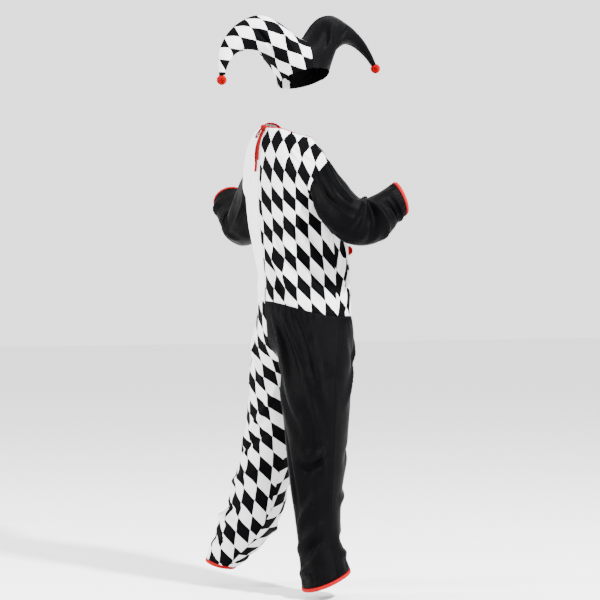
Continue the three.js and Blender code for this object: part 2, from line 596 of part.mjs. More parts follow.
// The solid wall of one panel: its points, the same points set inwards, and the four edges.
function wall(grid, normals) {
  const { rows, closed, flip } = grid;
  const height = rows.length;
  const width = rows[0].length;
  const outer = [];
  const inner = [];
  for (let r = 0; r < height; r += 1) {
    for (let c = 0; c < width; c += 1) {
      const p = rows[r][c];
      const normal = normals.get(keyOf(p));
      const trim = vec(0, 0, 0);
      const toward = (q, far = SEAM_TRIM) => trim.addScaledVector(q.clone().sub(p).normalize(), far);
      if (r === 0) toward(rows[1][c], closed ? ARMHOLE_TRIM : SEAM_TRIM);
      if (r === height - 1) toward(rows[height - 2][c]);
      if (!closed && c === 0) toward(rows[r][1]);
      if (!closed && c === width - 1) toward(rows[r][width - 2]);
      const top = p.clone().addScaledVector(normal, foldAt(grid, r, c)).add(trim);
      outer.push(top);
      inner.push(top.clone().addScaledVector(normal, -WALL));
    }
  }
  const id = (r, c) => r * width + (c % width);
  const count = outer.length;
  const triangles = [];
  const quad = (a, b, c, d) => {
    const turned = flip ? [a, d, c, b] : [a, b, c, d];
    triangles.push([turned[0], turned[1], turned[2]], [turned[0], turned[2], turned[3]]);
  };
  const columns = closed ? width : width - 1;
  for (let r = 0; r < height - 1; r += 1) {
    for (let c = 0; c < columns; c += 1) {
      const q = [id(r, c), id(r, c + 1), id(r + 1, c + 1), id(r + 1, c)];
      const straight = outer[q[0]].distanceTo(outer[q[2]]) <= outer[q[1]].distanceTo(outer[q[3]]);
      const k = straight ? q : [q[1], q[2], q[3], q[0]];
      quad(k[0], k[1], k[2], k[3]);
      quad(k[0] + count, k[3] + count, k[2] + count, k[1] + count);
    }
  }
  for (let c = 0; c < columns; c += 1) {
    const bottom = [id(0, c), id(0, c + 1)];
    const top = [id(height - 1, c), id(height - 1, c + 1)];
    quad(bottom[0] + count, bottom[1] + count, bottom[1], bottom[0]);
    quad(top[0], top[1], top[1] + count, top[0] + count);
  }
  if (!closed) {
    for (let r = 0; r < height - 1; r += 1) {
      const start = [id(r, 0), id(r + 1, 0)];
      const end = [id(r, width - 1), id(r + 1, width - 1)];
      quad(start[0], start[1], start[1] + count, start[0] + count);
      quad(end[0] + count, end[1] + count, end[1], end[0]);
    }
  }
  return geometryOf([...outer, ...inner], triangles);
}

// A binding: a flat ring that carries on from an edge of the cloth. Each edge point comes with the
// next point inside the cloth.
function binding(edge, inside, normals, wide) {
  const count = edge.length;
  const points = [];
  edge.forEach((p, i) => {
    const before = edge[(i + count - 1) % count];
    const after = edge[(i + 1) % count];
    const line = after.clone().sub(before).normalize();
    const normal = normals.get(keyOf(p)).clone();
    normal.addScaledVector(line, -normal.dot(line)).normalize();
    const out = p.clone().sub(inside[i]);
    out.addScaledVector(line, -out.dot(line)).addScaledVector(normal, -out.dot(normal)).normalize();
    const corner = (far, up) => p.clone()
      .addScaledVector(normal, up)
      .addScaledVector(out, far);
    points.push(
      corner(BINDING_GAP, BINDING_OUT),
      corner(wide, BINDING_OUT),
      corner(wide, -BINDING_IN),
      corner(BINDING_GAP, -BINDING_IN),
    );
  });
  const triangles = [];
  for (let i = 0; i < count; i += 1) {
    const next = (i + 1) % count;
    for (let k = 0; k < 4; k += 1) {
      const a = i * 4 + k;
      const b = i * 4 + ((k + 1) % 4);
      const c = next * 4 + ((k + 1) % 4);
      const d = next * 4 + k;
      triangles.push([a, b, c], [a, c, d]);
    }
  }
  const geometry = geometryOf(points, triangles);
  return facingOut(geometry);
}

// The signed volume tells whether the faces point out.
function facingOut(geometry) {
  const position = geometry.getAttribute('position');
  const index = [...geometry.getIndex().array];
  let volume = 0;
  const corner = (i) => vec(0, 0, 0).fromBufferAttribute(position, i);
  for (let i = 0; i < index.length; i += 3) {
    const cross = corner(index[i + 1]).cross(corner(index[i + 2]));
    volume += corner(index[i]).dot(cross);
  }
  if (volume < 0) {
    for (let i = 0; i < index.length; i += 3) {
      const kept = index[i + 1];
      index[i + 1] = index[i + 2];
      index[i + 2] = kept;
    }
    geometry.setIndex(index);
  }
  return geometry;
}

// A pompom whose bare pole faces the cloth that it is sewn to.
function pompom(centre, toCloth) {
  const core = new THREE.IcosahedronGeometry(POMPOM.core, 1);
  const corners = core.getAttribute('position');
  const pole = vec(0, 0, 0).fromBufferAttribute(corners, 0);
  const turn = new THREE.Quaternion().setFromUnitVectors(pole.clone().normalize(), toCloth);
  const points = [];
  const places = new Map();
  const indexOf = (p) => {
    const key = keyOf(p);
    if (!places.has(key)) {
      places.set(key, points.length);
      points.push(p.clone().applyQuaternion(turn).add(centre));
    }
    return places.get(key);
  };
  const triangles = [];
  for (let i = 0; i < corners.count; i += 3) {
    const face = [0, 1, 2].map((k) => vec(0, 0, 0).fromBufferAttribute(corners, i + k));
    const ids = face.map(indexOf);
    const middle = face[0].clone().add(face[1]).add(face[2]).normalize();
    if (middle.dot(pole) > POMPOM.bare * POMPOM.core) {
      triangles.push(ids);
    } else {
      const tip = indexOf(middle.multiplyScalar(POMPOM.reach));
      for (let k = 0; k < 3; k += 1) triangles.push([ids[k], ids[(k + 1) % 3], tip]);
    }
  }
  return facingOut(geometryOf(points, triangles));
}

// Tie
function ribbonAlong(points) {
  const route = new THREE.CatmullRomCurve3(points);
  const side = route.computeFrenetFrames(1).normals[0];
  const flat = Math.abs(side.y) > Math.abs(side.x);
  const [high, wide] = flat ? [RIBBON.thick, RIBBON.width] : [RIBBON.width, RIBBON.thick];
  const round = new THREE.EllipseCurve(0, 0, high / 2, wide / 2);
  const outline = new THREE.Shape(round.getPoints(8).slice(0, 8));
  return new THREE.ExtrudeGeometry(outline, { steps: 12, extrudePath: route, bevelEnabled: false });
}

function tail(stations) {
  return ribbonAlong(stations.map(({ z, x, clear }) => {
    const back = read(TORSO_GIRTH, 'z', Math.min(z, NECK_BACK_Z)).back;
    return onBody(x, back + clear, z);
  }));
}

function knot(place) {
  const shape = new THREE.SphereGeometry(0.5, 10, 7);
  shape.scale(KNOT.width, KNOT.depth, KNOT.height);
  return shape.translate(place.x, place.y, place.z);
}

// The loop of the bow is a flat band bent into a drop shape.
function bowLoop(place, behind) {
  const halfWide = LOOP.width / 2;
  const drop = (inset) => {
    const outline = [];
    for (let i = 0; i < 14; i += 1) {
      const angle = (i / 14) * 2 * Math.PI;
      const far = (LOOP.length / 2) * (1 - Math.cos(angle));
      const wide = halfWide * Math.sin(angle) * Math.sin(angle / 2) ** 0.8;
      outline.push(vec(far, wide, 0));
    }
    const centre = vec(LOOP.length * 0.6, 0, 0);
    return outline.map((p) => {
      const inward = centre.clone().sub(p);
      return p.addScaledVector(inward.normalize(), inset);
    });
  };
  const flat = (outline) => outline.map((p) => new THREE.Vector2(p.x, p.y));
  const shape = new THREE.Shape(flat(drop(0)));
  shape.holes.push(new THREE.Path(flat(drop(RIBBON.thick * 1.3).reverse())));
  const geometry = new THREE.ExtrudeGeometry(shape, { depth: RIBBON.width - 2, bevelEnabled: false });
  const down = vec(...LOOP.way).normalize();
  const out = behind.clone().addScaledVector(down, -behind.dot(down)).normalize();
  const across = out.clone().cross(down);
  const frame = new THREE.Matrix4().makeBasis(down, across, out).setPosition(place);
  return geometry.applyMatrix4(frame);
}

const group = new THREE.Group();
function add(name, geometry, color, roughness) {
  const mesh = new THREE.Mesh(geometry, new THREE.MeshStandardMaterial({ color, roughness }));
  mesh.name = name;
  mesh.position.copy(ORIGIN).negate();
  group.add(mesh);
}

const SIDES = ['right', 'left'];
const FACES = ['back', 'front'];
const suit = {};
for (const side of SIDES) {
  for (const face of FACES) {
    const flip = (side === 'left') === (face === 'back');
    suit[`torso_${face}_${side}`] = { rows: torsoPanel(side, face), closed: false, flip };
    const waistRow = suit[`torso_${face}_${side}`].rows[0];
    suit[`leg_${side}_${face}`] = { rows: legPanel(side, face, waistRow), closed: false, flip: !flip };
  }
  const loop = armholeLoop(suit[`torso_back_${side}`].rows, suit[`torso_front_${side}`].rows);
  suit[`sleeve_${side}`] = { rows: sleeveRings(side, loop), closed: true, flip: side === 'right' };
}
const suitNormals = gather(Object.values(suit));
const COLOURS = {
  torso_back_right: CHECK,
  torso_front_right: CHECK,
  torso_back_left: WHITE,
  torso_front_left: WHITE,
  leg_left_back: CHECK,
  leg_left_front: CHECK,
};
for (const [name, grid] of Object.entries(suit)) {
  grid.folds = FOLDS.filter((fold) => fold.panel === name);
  add(name, wall(grid, suitNormals), COLOURS[name] ?? BLACK, 0.7);
}

const hat = {};
for (const side of SIDES) {
  for (const face of FACES) {
    const flip = (side === 'left') === (face === 'back');
    hat[`hat_${side}_${face}`] = { rows: hatPanel(side, face), closed: false, flip, folds: [] };
  }
}
const hatNormals = gather(Object.values(hat));
for (const [name, grid] of Object.entries(hat)) {
  add(name, wall(grid, hatNormals), name.startsWith('hat_left') ? BLACK : CHECK, 0.7);
}

// The neck, the cuffs and the hems are bound in red.
function neckEdge() {
  const edge = [];
  const inside = [];
  const take = (panel, from, to) => {
    const { rows } = suit[panel];
    const step = from < to ? 1 : -1;
    for (let r = from; r !== to; r += step) {
      edge.push(rows[r][0]);
      inside.push(r === CENTRE_ROWS ? rows[r - 1][0] : rows[r][1]);
    }
  };
  take('torso_back_right', CENTRE_ROWS, TORSO_ROWS);
  take('torso_front_right', TORSO_ROWS, CENTRE_ROWS);
  take('torso_front_left', CENTRE_ROWS, TORSO_ROWS);
  take('torso_back_left', TORSO_ROWS, CENTRE_ROWS);
  return [edge, inside];
}

function hemEdge(side) {
  const ends = (back) => {
    const behind = suit[`leg_${side}_back`].rows.at(back);
    const before = suit[`leg_${side}_front`].rows.at(back);
    return [...behind, ...before.slice(1, ACROSS).reverse()];
  };
  return [ends(-1), ends(-2)];
}

add('neck_binding', binding(...neckEdge(), suitNormals, NECK_BINDING_WIDTH), RED, 0.6);
for (const side of SIDES) {
  const { rows } = suit[`sleeve_${side}`];
  const cuff = binding(rows.at(-1), rows.at(-2), suitNormals, CUFF_BINDING_WIDTH);
  add(`cuff_binding_${side}`, cuff, RED, 0.6);
  add(`hem_binding_${side}`, binding(...hemEdge(side), suitNormals, HEM_BINDING_WIDTH), RED, 0.6);
}

// The tie at the back of the neck
const nape = suit.torso_back_right.rows[CENTRE_ROWS][0];
const behind = suitNormals.get(keyOf(nape)).clone();
const knotPlace = nape.clone().addScaledVector(behind, KNOT.depth / 2 + BINDING_OUT + 0.6);
knotPlace.z += KNOT.up;
add('tie_knot', knot(knotPlace), RED, 0.5);
const loopPlace = knotPlace.clone().addScaledVector(vec(...LOOP.way).normalize(), KNOT.height / 2 + 1.1);
loopPlace.addScaledVector(behind, LOOP.lift);
add('tie_loop', bowLoop(loopPlace, behind), RED, 0.5);
add('tie_tail_long', tail(TAILS.long), RED, 0.5);
add('tie_tail_short', tail(TAILS.short), RED, 0.5);

// Pompoms: one on the front of the suit, and one on each tip of the hat
const near = FRONT_POMPOM_ROWS.map((r) => suit.torso_front_right.rows[r][0]);
const belly = along(near[0], near[1], 0.5);
const outward = near.reduce((sum, p) => sum.add(suitNormals.get(keyOf(p))), vec(0, 0, 0)).normalize();
const bellyCentre = belly.clone().addScaledVector(outward, POMPOM.seatOnCloth);
add('front_pompom', pompom(bellyCentre, outward.clone().negate()), RED, 0.9);
for (const side of SIDES) {
  const middle = (r) => {
    const all = FACES.flatMap((face) => hat[`hat_${side}_${face}`].rows.at(r));
    return all.reduce((sum, p) => sum.add(p), vec(0, 0, 0)).divideScalar(all.length);
  };
  const tip = middle(-1);
  const on = tip.clone().sub(middle(-2)).normalize();
  const centre = tip.clone().addScaledVector(on, POMPOM.seatOnTip[side]);
  add(`hat_pompom_${side}`, pompom(centre, on.negate()), RED, 0.9);
}

export default group;
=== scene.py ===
import math
import random
import bmesh
import bpy
import numpy as np
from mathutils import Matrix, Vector


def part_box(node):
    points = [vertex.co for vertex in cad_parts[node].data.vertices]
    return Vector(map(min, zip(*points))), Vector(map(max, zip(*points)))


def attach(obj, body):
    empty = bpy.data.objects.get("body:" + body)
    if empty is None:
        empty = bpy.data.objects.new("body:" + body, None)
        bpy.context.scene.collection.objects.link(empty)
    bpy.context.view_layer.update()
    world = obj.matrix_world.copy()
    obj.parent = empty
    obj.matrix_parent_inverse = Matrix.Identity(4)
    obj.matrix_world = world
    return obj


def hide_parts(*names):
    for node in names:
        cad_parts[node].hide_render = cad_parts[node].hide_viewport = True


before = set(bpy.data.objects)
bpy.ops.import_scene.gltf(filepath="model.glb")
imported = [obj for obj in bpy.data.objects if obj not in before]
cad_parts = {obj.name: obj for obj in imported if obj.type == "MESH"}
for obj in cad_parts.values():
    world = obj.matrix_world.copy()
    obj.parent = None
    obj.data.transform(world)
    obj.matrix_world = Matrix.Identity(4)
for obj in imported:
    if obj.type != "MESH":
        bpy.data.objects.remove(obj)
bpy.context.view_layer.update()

RANDOM = random.Random(7)

# Tables are in the wearer's frame, in millimetres, with the floor at z = 0.
ORIGIN = np.array([22.0, 35.0, 1566.0])
WALL = 1.5
REFINE = 6
FLATTEN_PASSES, FLATTEN_PUSH = 900, 1.6
ACROSS, SIDE_ROWS, CENTRE_ROWS, TORSO_ROWS = 10, 8, 12, 18
HIP_ROWS, LEG_ROWS, SLEEVE_ROWS = 6, 13, 17
HAT_RIM_ROWS, HAT_ROWS, HAT_ACROSS, RELAX_PASSES = 5, 16, 7, 3
WAIST_BACK_Z, WAIST_Z, ARMPIT_Z, NECK_BACK_Z, NECK_FRONT_Z = 997, 947, 1325, 1577, 1530
NECK_SIDE_Z = {"right": 1552, "left": 1608}
SHOULDER_LIFT = {"right": -4, "left": 30}
NECK_HALF_WIDTH, NECK_HALF_DEPTH = 90, 96
SIDE_SEAM_Y, PULL_SCALE, SEAM_SLANT, ARMPIT_DIP = -25, 200, 0.0085, 70


def table(names, *rows):
    return [dict(zip(names.split(), r)) for r in rows]


def by_panel(names, groups):
    return [dict(row, panel=panel) for panel, rows in groups for row in table(names, *rows)]


BODY_LINE = table("z x y turn",
    (740, 0, 0, 0), (900, -4, -8, -1), (1000, -7, -12, -3), (1100, -7, -11, -2),
    (1205, 5, 8, 2), (1340, 18, 29, 5), (1440, 21, 33, 7), (1620, 22, 35, 7))
TORSO_GIRTH = table("z half back front frontX",
    (940, 184, 152, 146, -18), (1000, 176, 152, 146, -40), (1100, 166, 154, 142, -58),
    (1165, 172, 151, 138, -66), (1205, 182, 147, 138, -60), (1340, 194, 132, 134, -22),
    (1440, 200, 124, 118, -4), (1510, 200, 120, 105, 0), (1578, 200, 99, 96, 0))
ARMHOLE = {
    "back": table("at x y z toX toY toZ",
        (0, 190, -25, 1325, 0, 86, 8), (0.15, 187, 12, 1326, -14, 68, 18),
        (0.3, 185, 44, 1338, -34, 52, 32), (0.45, 186, 57, 1364, -50, 44, 40),
        (0.6, 191, 50, 1395, -58, 44, 42), (0.8, 201, 27, 1434, -54, 30, 38),
        (1, 213, 0, 1468, -40, 0, 32)),
    "front": table("at x y z toX toY toZ",
        (0, 190, -25, 1325, 0, -60, 8), (0.15, 187, -50, 1328, -18, -46, 16),
        (0.3, 183, -70, 1343, -34, -34, 20), (0.45, 182, -74, 1370, -46, -28, 18),
        (0.6, 186, -62, 1398, -50, -26, 0), (0.8, 199, -33, 1435, -48, -14, 0),
        (1, 213, 0, 1468, -40, 0, 32)),
}
CENTRE_PULL = table("row x y z drop",
    (0, 0.56, 0, 0, 0), (8, 0.58, 0, 0, 0), (12, 0.44, 0.02, 0.01, 0),
    (15, 0.2, 0.14, -0.02, 0.12), (17, 0.2, 0.06, -0.03, 0.1), (18, 0.22, 0, -0.03, 0))
HIPS = table("at seamX back front seamBackZ seamFrontZ right left sideY sideZ pullX pullY sidePull",
    (0, 0, 152, 152, 997, 947, 183, 183, -25, 947, 112, 0, 88),
    (0.33, 0, 143, 141, 912, 878, 205, 204, -18, 880, 116, 8, 90),
    (0.66, 4, 116, 112, 832, 812, 212, 220, -10, 812, 102, 42, 110),
    (1, 12, 0, 0, 742, 742, 215, 242, -3, 742, 24, 155, 155))
LEG = {
    "right": table("z x y out in back front tip",
        (740, -102, -5, 116, 114, 118, 118, 0), (660, -98, -4, 118, 116, 118, 119, 0),
        (560, -97, -4, 108, 107, 108, 108, 0), (450, -97, -5, 99, 99, 100, 99, 0),
        (353, -98, -6, 88, 88, 90, 87, 0), (262, -100, -9, 77, 77, 78, 77, 3),
        (165, -104, -14, 75, 74, 74, 76, 8), (110, -110, -22, 81, 82, 82, 86, 7),
        (69, -114, -31, 80, 84, 85, 88, 9)),
    "left": table("z x y out in back front tip",
        (740, 127, -3, 115, 115, 114, 114, 0), (654, 147, -1, 104, 105, 104, 104, 0),
        (570, 170, -2, 101, 102, 101, 101, 0), (500, 190, -1, 102, 102, 100, 104, 0),
        (417, 206, 13, 98, 99, 98, 99, 0), (336, 220, 30, 99, 101, 98, 100, 0),
        (275, 229, 42, 97, 104, 96, 106, 0), (204, 252, 70, 93, 92, 94, 92, 0),
        (146, 274, 98, 84, 77, 86, 76, 0), (112, 291, 122, 68, 64, 68, 64, -6),
        (84, 299, 135, 55, 54, 56, 55, -12)),
}
ARM = {
    "right": dict(start=(8, 12, -8), elbow=(-306, -40, 1228), cuff=(-312, -201, 1343), bend=70, slant=36),
    "left": dict(start=(0, 0, 0), elbow=(404, -14, 1254), cuff=(556, -45, 1363), bend=84, slant=0),
}
SLEEVE = {
    "right": table("at across under outside inside",
        (0, 74, 41, 78, 72), (0.15, 73, 41, 78, 69), (0.3, 72, 56, 78, 64), (0.5, 71, 71, 88, 79),
        (0.62, 69, 69, 80, 79), (0.75, 63, 63, 62, 64), (0.9, 59, 59, 60, 54), (1, 57, 57, 58, 51)),
    "left": table("at across under outside inside",
        (0, 76, 64, 76, 74), (0.3, 74, 68, 76, 70), (0.5, 72, 72, 79, 66), (0.62, 69, 69, 77, 64),
        (0.78, 65, 65, 64, 61), (0.92, 64, 64, 60, 60), (1, 62, 62, 58, 58)),
}
SLEEVE_EASE, SLANT_START = 0.24, 0.7
HAT_PLACE = dict(x=-6, y=-10, turn=-95)
HAT_RIM = dict(side=82, depth=102, z=1753, front_rise=25, left_rise=8, upright=66, top_loss=0.62)
FRONT_SEAM_TURN = 0.22
HORN = {
    "right": table("at lowSide lowZ topSide topZ depth",
        (0, 60, 1704, 10, 1878, 104), (0.12, 74, 1716, 52, 1905, 92), (0.31, 92, 1742, 118, 1948, 78),
        (0.45, 120, 1793, 176, 1953, 62), (0.58, 160, 1828, 228, 1932, 48), (0.7, 214, 1836, 270, 1899, 36),
        (0.8, 250, 1826, 298, 1860, 27), (0.9, 281, 1793, 315, 1808, 18), (1, 295, 1748, 312, 1745, 9)),
    "left": table("at lowSide lowZ topSide topZ depth",
        (0, 80, 1730, -10, 1878, 104), (0.12, 84, 1744, 25, 1930, 92), (0.31, 88, 1772, 66, 1964, 76),
        (0.45, 99, 1828, 112, 1972, 60), (0.58, 124, 1860, 158, 1953, 46), (0.7, 166, 1884, 199, 1926, 34),
        (0.8, 202, 1872, 230, 1897, 25), (0.9, 240, 1844, 259, 1858, 16), (1, 267, 1812, 280, 1817, 8)),
}

# Folds, in cells of a panel: from, through and to (along the rows, and across), half width in cells
# and rise in millimetres. The broad ones start from the source's, and some are deeper here. The first
# is a soft bulge behind the right thigh. The creases' rise is multiplied by CREASE_DEPTH.
FOLDS = by_panel("r0 c0 r1 c1 wide rise", [
    ("leg_right_back", [(4, 1.6, 8.5, 2.2, 1.8, 12)]),
    ("torso_back_left", [(8.8, 2.8, 1.4, 1.8, 0.6, -11), (9, 4.6, 2, 3.4, 0.9, 4),
        (10, 7.6, 4, 6.2, 0.9, -5)]),
    ("torso_back_right", [(6.6, 4.6, 3, 8.8, 0.6, 9), (5.8, 3.6, 2, 8, 0.55, -12),
        (4.8, 2.6, 1.2, 6.8, 0.55, 10), (12, 7, 14, 3, 0.8, -7)]),
    ("torso_front_right", [(5.6, 6.6, 2.4, 8.6, 0.8, -4), (10.5, 7, 7, 3, 0.9, -5)]),
    ("torso_front_left", [(10.4, 7, 5, 3, 0.9, -6), (8, 8, 3, 5, 0.9, 5), (5.4, 8, 1.8, 6, 0.8, -5)]),
    ("leg_right_back", [(1, 3.4, 6.4, 8.8, 0.7, 5), (1.6, 2, 5.4, 5.6, 0.7, -6),
        (4, 4.6, 8.8, 8.2, 0.7, -6), (8.8, 8.2, 14.6, 6.8, 0.75, -6), (8.4, 5.6, 13.6, 5, 0.8, 5),
        (18, 6, 16.8, 9.2, 0.6, 5), (17, 4.6, 15.8, 8.6, 0.6, -4)]),
    ("leg_right_front", [(2, 8, 7, 4, 0.8, -6), (9, 4, 12.4, 7, 0.8, 5), (17.6, 2, 16.8, 7, 0.7, -5)]),
    ("leg_left_back", [(2, 7, 7, 4, 0.8, -5), (10, 6, 14, 3.6, 0.8, 5), (17.4, 2, 17.6, 8, 0.6, 5)]),
    ("leg_left_front", [(2, 7.6, 7, 4.4, 0.8, -6), (9, 3, 13, 6.6, 0.8, -5), (17.4, 3, 17.6, 8, 0.6, 5)]),
    ("sleeve_right", [(2, 8.2, 8, 7.2, 0.9, 4), (2, 6, 8.4, 5.4, 0.9, -5), (12, 2.6, 12.8, 7, 0.7, 4),
        (14, 3, 14.6, 7.4, 0.7, -3)]),
    ("sleeve_left", [(2, 6, 8, 4.4, 0.9, -5), (3, 13, 8, 14.6, 0.9, -5), (13, 3, 13.6, 7, 0.7, 4)])])
CREASES = by_panel("r0 c0 rm cm r1 c1 wide rise", [
    # White back: long soft folds that hang from the shoulder
    ("torso_back_left", [(11, 2.2, 6, 1.5, 1.5, 1.2, 0.3, -2.5), (11.5, 4, 7, 3.2, 2, 2.7, 0.32, -3),
        (9.4, 9.2, 7.6, 7.4, 6.6, 5.2, 0.35, -3.5), (8.6, 9.4, 6.4, 8.4, 4.6, 6.6, 0.35, 3),
        (3, 8.6, 1.8, 6, 1.2, 3, 0.35, 3)]),
    # Checked back: pulls from under the arm, and slack over the waist
    ("torso_back_right", [(9.6, 8.6, 8.2, 7, 7.4, 4.6, 0.42, -3), (9, 9, 7, 8.4, 4.8, 9, 0.42, 3.5),
        (7.2, 5.2, 5.4, 6.4, 3.8, 9, 0.42, -3.5), (6.2, 3.2, 4.2, 4.8, 2.6, 8.4, 0.42, 4),
        (5, 2, 3, 3.6, 1.4, 7, 0.42, -4), (4, 1, 2.2, 2.4, 0.9, 5, 0.42, 4),
        (3.4, 5.6, 1.9, 6.8, 0.8, 9, 0.42, 3.5), (2.6, 1, 1.4, 2, 0.7, 3.4, 0.42, -3),
        (14.5, 8, 13.6, 5.4, 13.8, 3, 0.35, -2.5), (16.6, 8.6, 15.6, 6, 15.2, 3.4, 0.35, 2.5)]),
    ("torso_front_right", [(6, 4, 4, 6, 2.4, 9, 0.32, 3.5), (4.4, 3, 2.4, 5.4, 1.2, 8.6, 0.32, -3.5),
        (9.6, 8.6, 8.6, 6, 8.4, 3.6, 0.35, -3), (13, 7.4, 12, 5, 11.4, 2.4, 0.35, 2.5)]),
    ("torso_front_left", [(9.8, 8.8, 8.6, 6, 7.6, 3, 0.35, -3.5), (6, 2, 3.6, 4.4, 2, 8, 0.33, 3.5),
        (4, 1.4, 2.2, 3.6, 1, 7, 0.33, -3.5), (13.4, 7, 12.6, 4.6, 12, 2, 0.35, 2.5)]),
    # Black leg: long diagonals off the waist, slack behind the knee, rings at the ankle
    ("leg_right_back", [(0.6, 4.4, 3.4, 6, 6.8, 9, 0.3, -3.5), (0.6, 2.6, 3, 4, 6.4, 7.6, 0.3, 4),
        (1.2, 1.2, 4, 2.8, 8, 6, 0.3, 4), (2, 6.6, 4.4, 7.8, 7.6, 9.2, 0.28, 3),
        (5.4, 2, 7.4, 4, 10, 7, 0.3, -3.5), (6.6, 7.4, 9.6, 9, 12.4, 9.2, 0.28, 3.5),
        (10.2, 9.6, 11.6, 8.2, 10.8, 6.6, 0.28, 4), (10.9, 9.4, 12.3, 8, 11.6, 6.4, 0.26, -4),
        (9.6, 4.2, 12, 5.4, 14.6, 5, 0.3, -3.5), (13.4, 8.6, 14.6, 6.4, 16, 4, 0.3, 3.5),
        (16.2, 8.8, 17, 6.6, 17.6, 4, 0.26, -4), (15.4, 8.8, 16.4, 6, 17, 3, 0.26, 4),
        (18.4, 8.4, 18, 5.6, 18.3, 3, 0.24, 3.5)]),
    ("leg_right_front", [(1, 3, 4, 5, 7.6, 8.6, 0.3, 3.5), (8, 3, 10, 5, 11.4, 8, 0.3, -3.5),
        (12.4, 2.6, 13.6, 5, 14, 8, 0.3, 3.5), (16.2, 2, 17, 5, 16.6, 8, 0.26, -4),
        (17.2, 1.6, 18, 5, 17.8, 8.4, 0.26, 3.5)]),
    # Checked leg
    ("leg_left_back", [(0.7, 6, 3, 4.4, 6.6, 3, 0.3, 3.5), (1, 9, 4.4, 7.6, 8, 6.6, 0.3, -3),
        (6, 1.4, 8.4, 3, 11, 6.4, 0.3, 3), (9.4, 2, 11, 4.4, 12.6, 8, 0.3, -3.5),
        (12.4, 2, 13.6, 4.8, 14.4, 8.6, 0.3, 3.5), (15, 1.4, 15.9, 4.6, 16, 8.4, 0.27, -4),
        (16.2, 1.6, 16.8, 5, 16.7, 8.8, 0.25, 4), (17.6, 1.4, 18, 5, 17.9, 8.6, 0.22, -3.5)]),
    ("leg_left_front", [(1, 3, 3.6, 5, 7, 8.4, 0.3, 3.5), (7.4, 8, 9.6, 5.4, 11, 2.4, 0.3, 3.5),
        (12, 8, 13.2, 5, 13.6, 2, 0.3, -3.5), (15.6, 1.6, 16.4, 5, 16.2, 8.6, 0.26, 4),
        (17.6, 1.4, 18.1, 5, 17.8, 8.6, 0.22, -3.5)]),
    # Sleeves: ridges from the shoulder, crescents in the elbow and over the forearm
    ("sleeve_right", [(1, 9.4, 4.4, 8.8, 8.4, 9.6, 0.4, 4), (0.8, 7.2, 4.6, 6.8, 8.6, 8, 0.36, -4),
        (1, 4.6, 4.6, 4, 8, 4.6, 0.4, 3.5), (1.4, 2.6, 4, 1.8, 7, 2.4, 0.4, -3.5),
        (8.2, 5, 9.2, 7, 9.4, 9.6, 0.34, 4.5), (9.4, 3.4, 10.4, 6.4, 10.2, 9.6, 0.34, -4.5),
        (10.6, 2.6, 11.4, 5.8, 11, 9, 0.32, 4), (13, 1.6, 13.6, 5, 12.8, 8.6, 0.32, -3.5),
        (15, 2, 15.6, 5.4, 14.8, 8.6, 0.3, 3.5), (8.4, 11, 9, 13, 8.6, 15.4, 0.34, -4.5),
        (10, 11, 10.6, 13.4, 10.2, 16, 0.34, 4), (3, 13, 6, 13.6, 9, 12.6, 0.4, 3.5)]),
    ("sleeve_left", [(1, 4, 5, 3.4, 9, 4.6, 0.4, 3.5), (1, 7.6, 5, 7, 9, 8, 0.4, -3.5),
        (8.6, 2.6, 9.6, 5.4, 9.4, 9, 0.34, 4), (9.8, 2, 10.8, 5, 10.4, 8.6, 0.34, -4.5),
        (11.6, 2, 12.2, 5, 11.6, 8, 0.32, -3.5), (14.2, 2, 14.9, 5, 14.2, 8.4, 0.32, -4),
        (15.4, 2.4, 15.9, 5, 15.4, 7.6, 0.3, 3.5), (8.6, 12, 9.4, 14.4, 8.8, 17, 0.34, 4),
        (12.4, 12, 13, 14.6, 12.4, 17.6, 0.32, -3.5)]),
    # Hat
    ("hat_right_back", [(1.5, 1.6, 3, 3.6, 5, 5.6, 0.35, -2.5), (5, 1.6, 6.4, 3.4, 7.4, 5.4, 0.3, 2.5),
        (7.4, 1.2, 8.6, 3, 9.4, 5, 0.3, -2.5), (10, 1.4, 11, 3, 11.8, 5, 0.3, 2)]),
    ("hat_right_front", [(2, 2, 4, 3.6, 6, 5.4, 0.35, -2.5), (7, 1.4, 8.6, 3.4, 9.4, 5.4, 0.3, 2.5)]),
    ("hat_left_back", [(1.6, 2, 3.4, 4, 5.4, 5.6, 0.35, -2.5), (5, 1.4, 6.6, 3, 7.6, 5.2, 0.3, 2.5),
        (8, 1.6, 9, 3.2, 9.8, 5, 0.3, -2.5)]),
    ("hat_left_front", [(2, 2, 4, 3.6, 6, 5.4, 0.35, -2.5), (7, 1.4, 8.6, 3.4, 9.4, 5.4, 0.3, 2.5)])])

CREASE_DEPTH = 4.6
CREASE_STEPS = 25
CREASE_UNEVEN = 0.28
CREASE_SHOULDER, SHOULDER_SPREAD = 0.32, 2.2
RIPPLE = dict(waist=2.2, waist_fine=1.3, hem=1.6, armhole=1.4, all_over=0.5)
SEAM_DEPTH = 0.9
SEAM_ALLOWANCE, AREA_ALLOWANCE = 1.03, 1.04

# The diamond check on the flat panels, in millimetres. A cell is two sides of a diamond, each across and up.
# Its values were set so that the diamonds fall where the photograph shows them.
LEG_CHECK = dict(cell=((7.31, 51.93), (-52.01, -31.36)), corner=(-55.39, 600.22))
HAT_CHECK = dict(cell=((54.2, -15.1), (14.0, -46.5)), corner=(-195.2, 1856.1))
BACK_CHECK = dict(width=45.5, height=98, x=115, z=1480, lean=0.47, upright_z=1488)
FRONT_CHECK = dict(width=42, height=104, x=53, z=1042, lean=0.1)
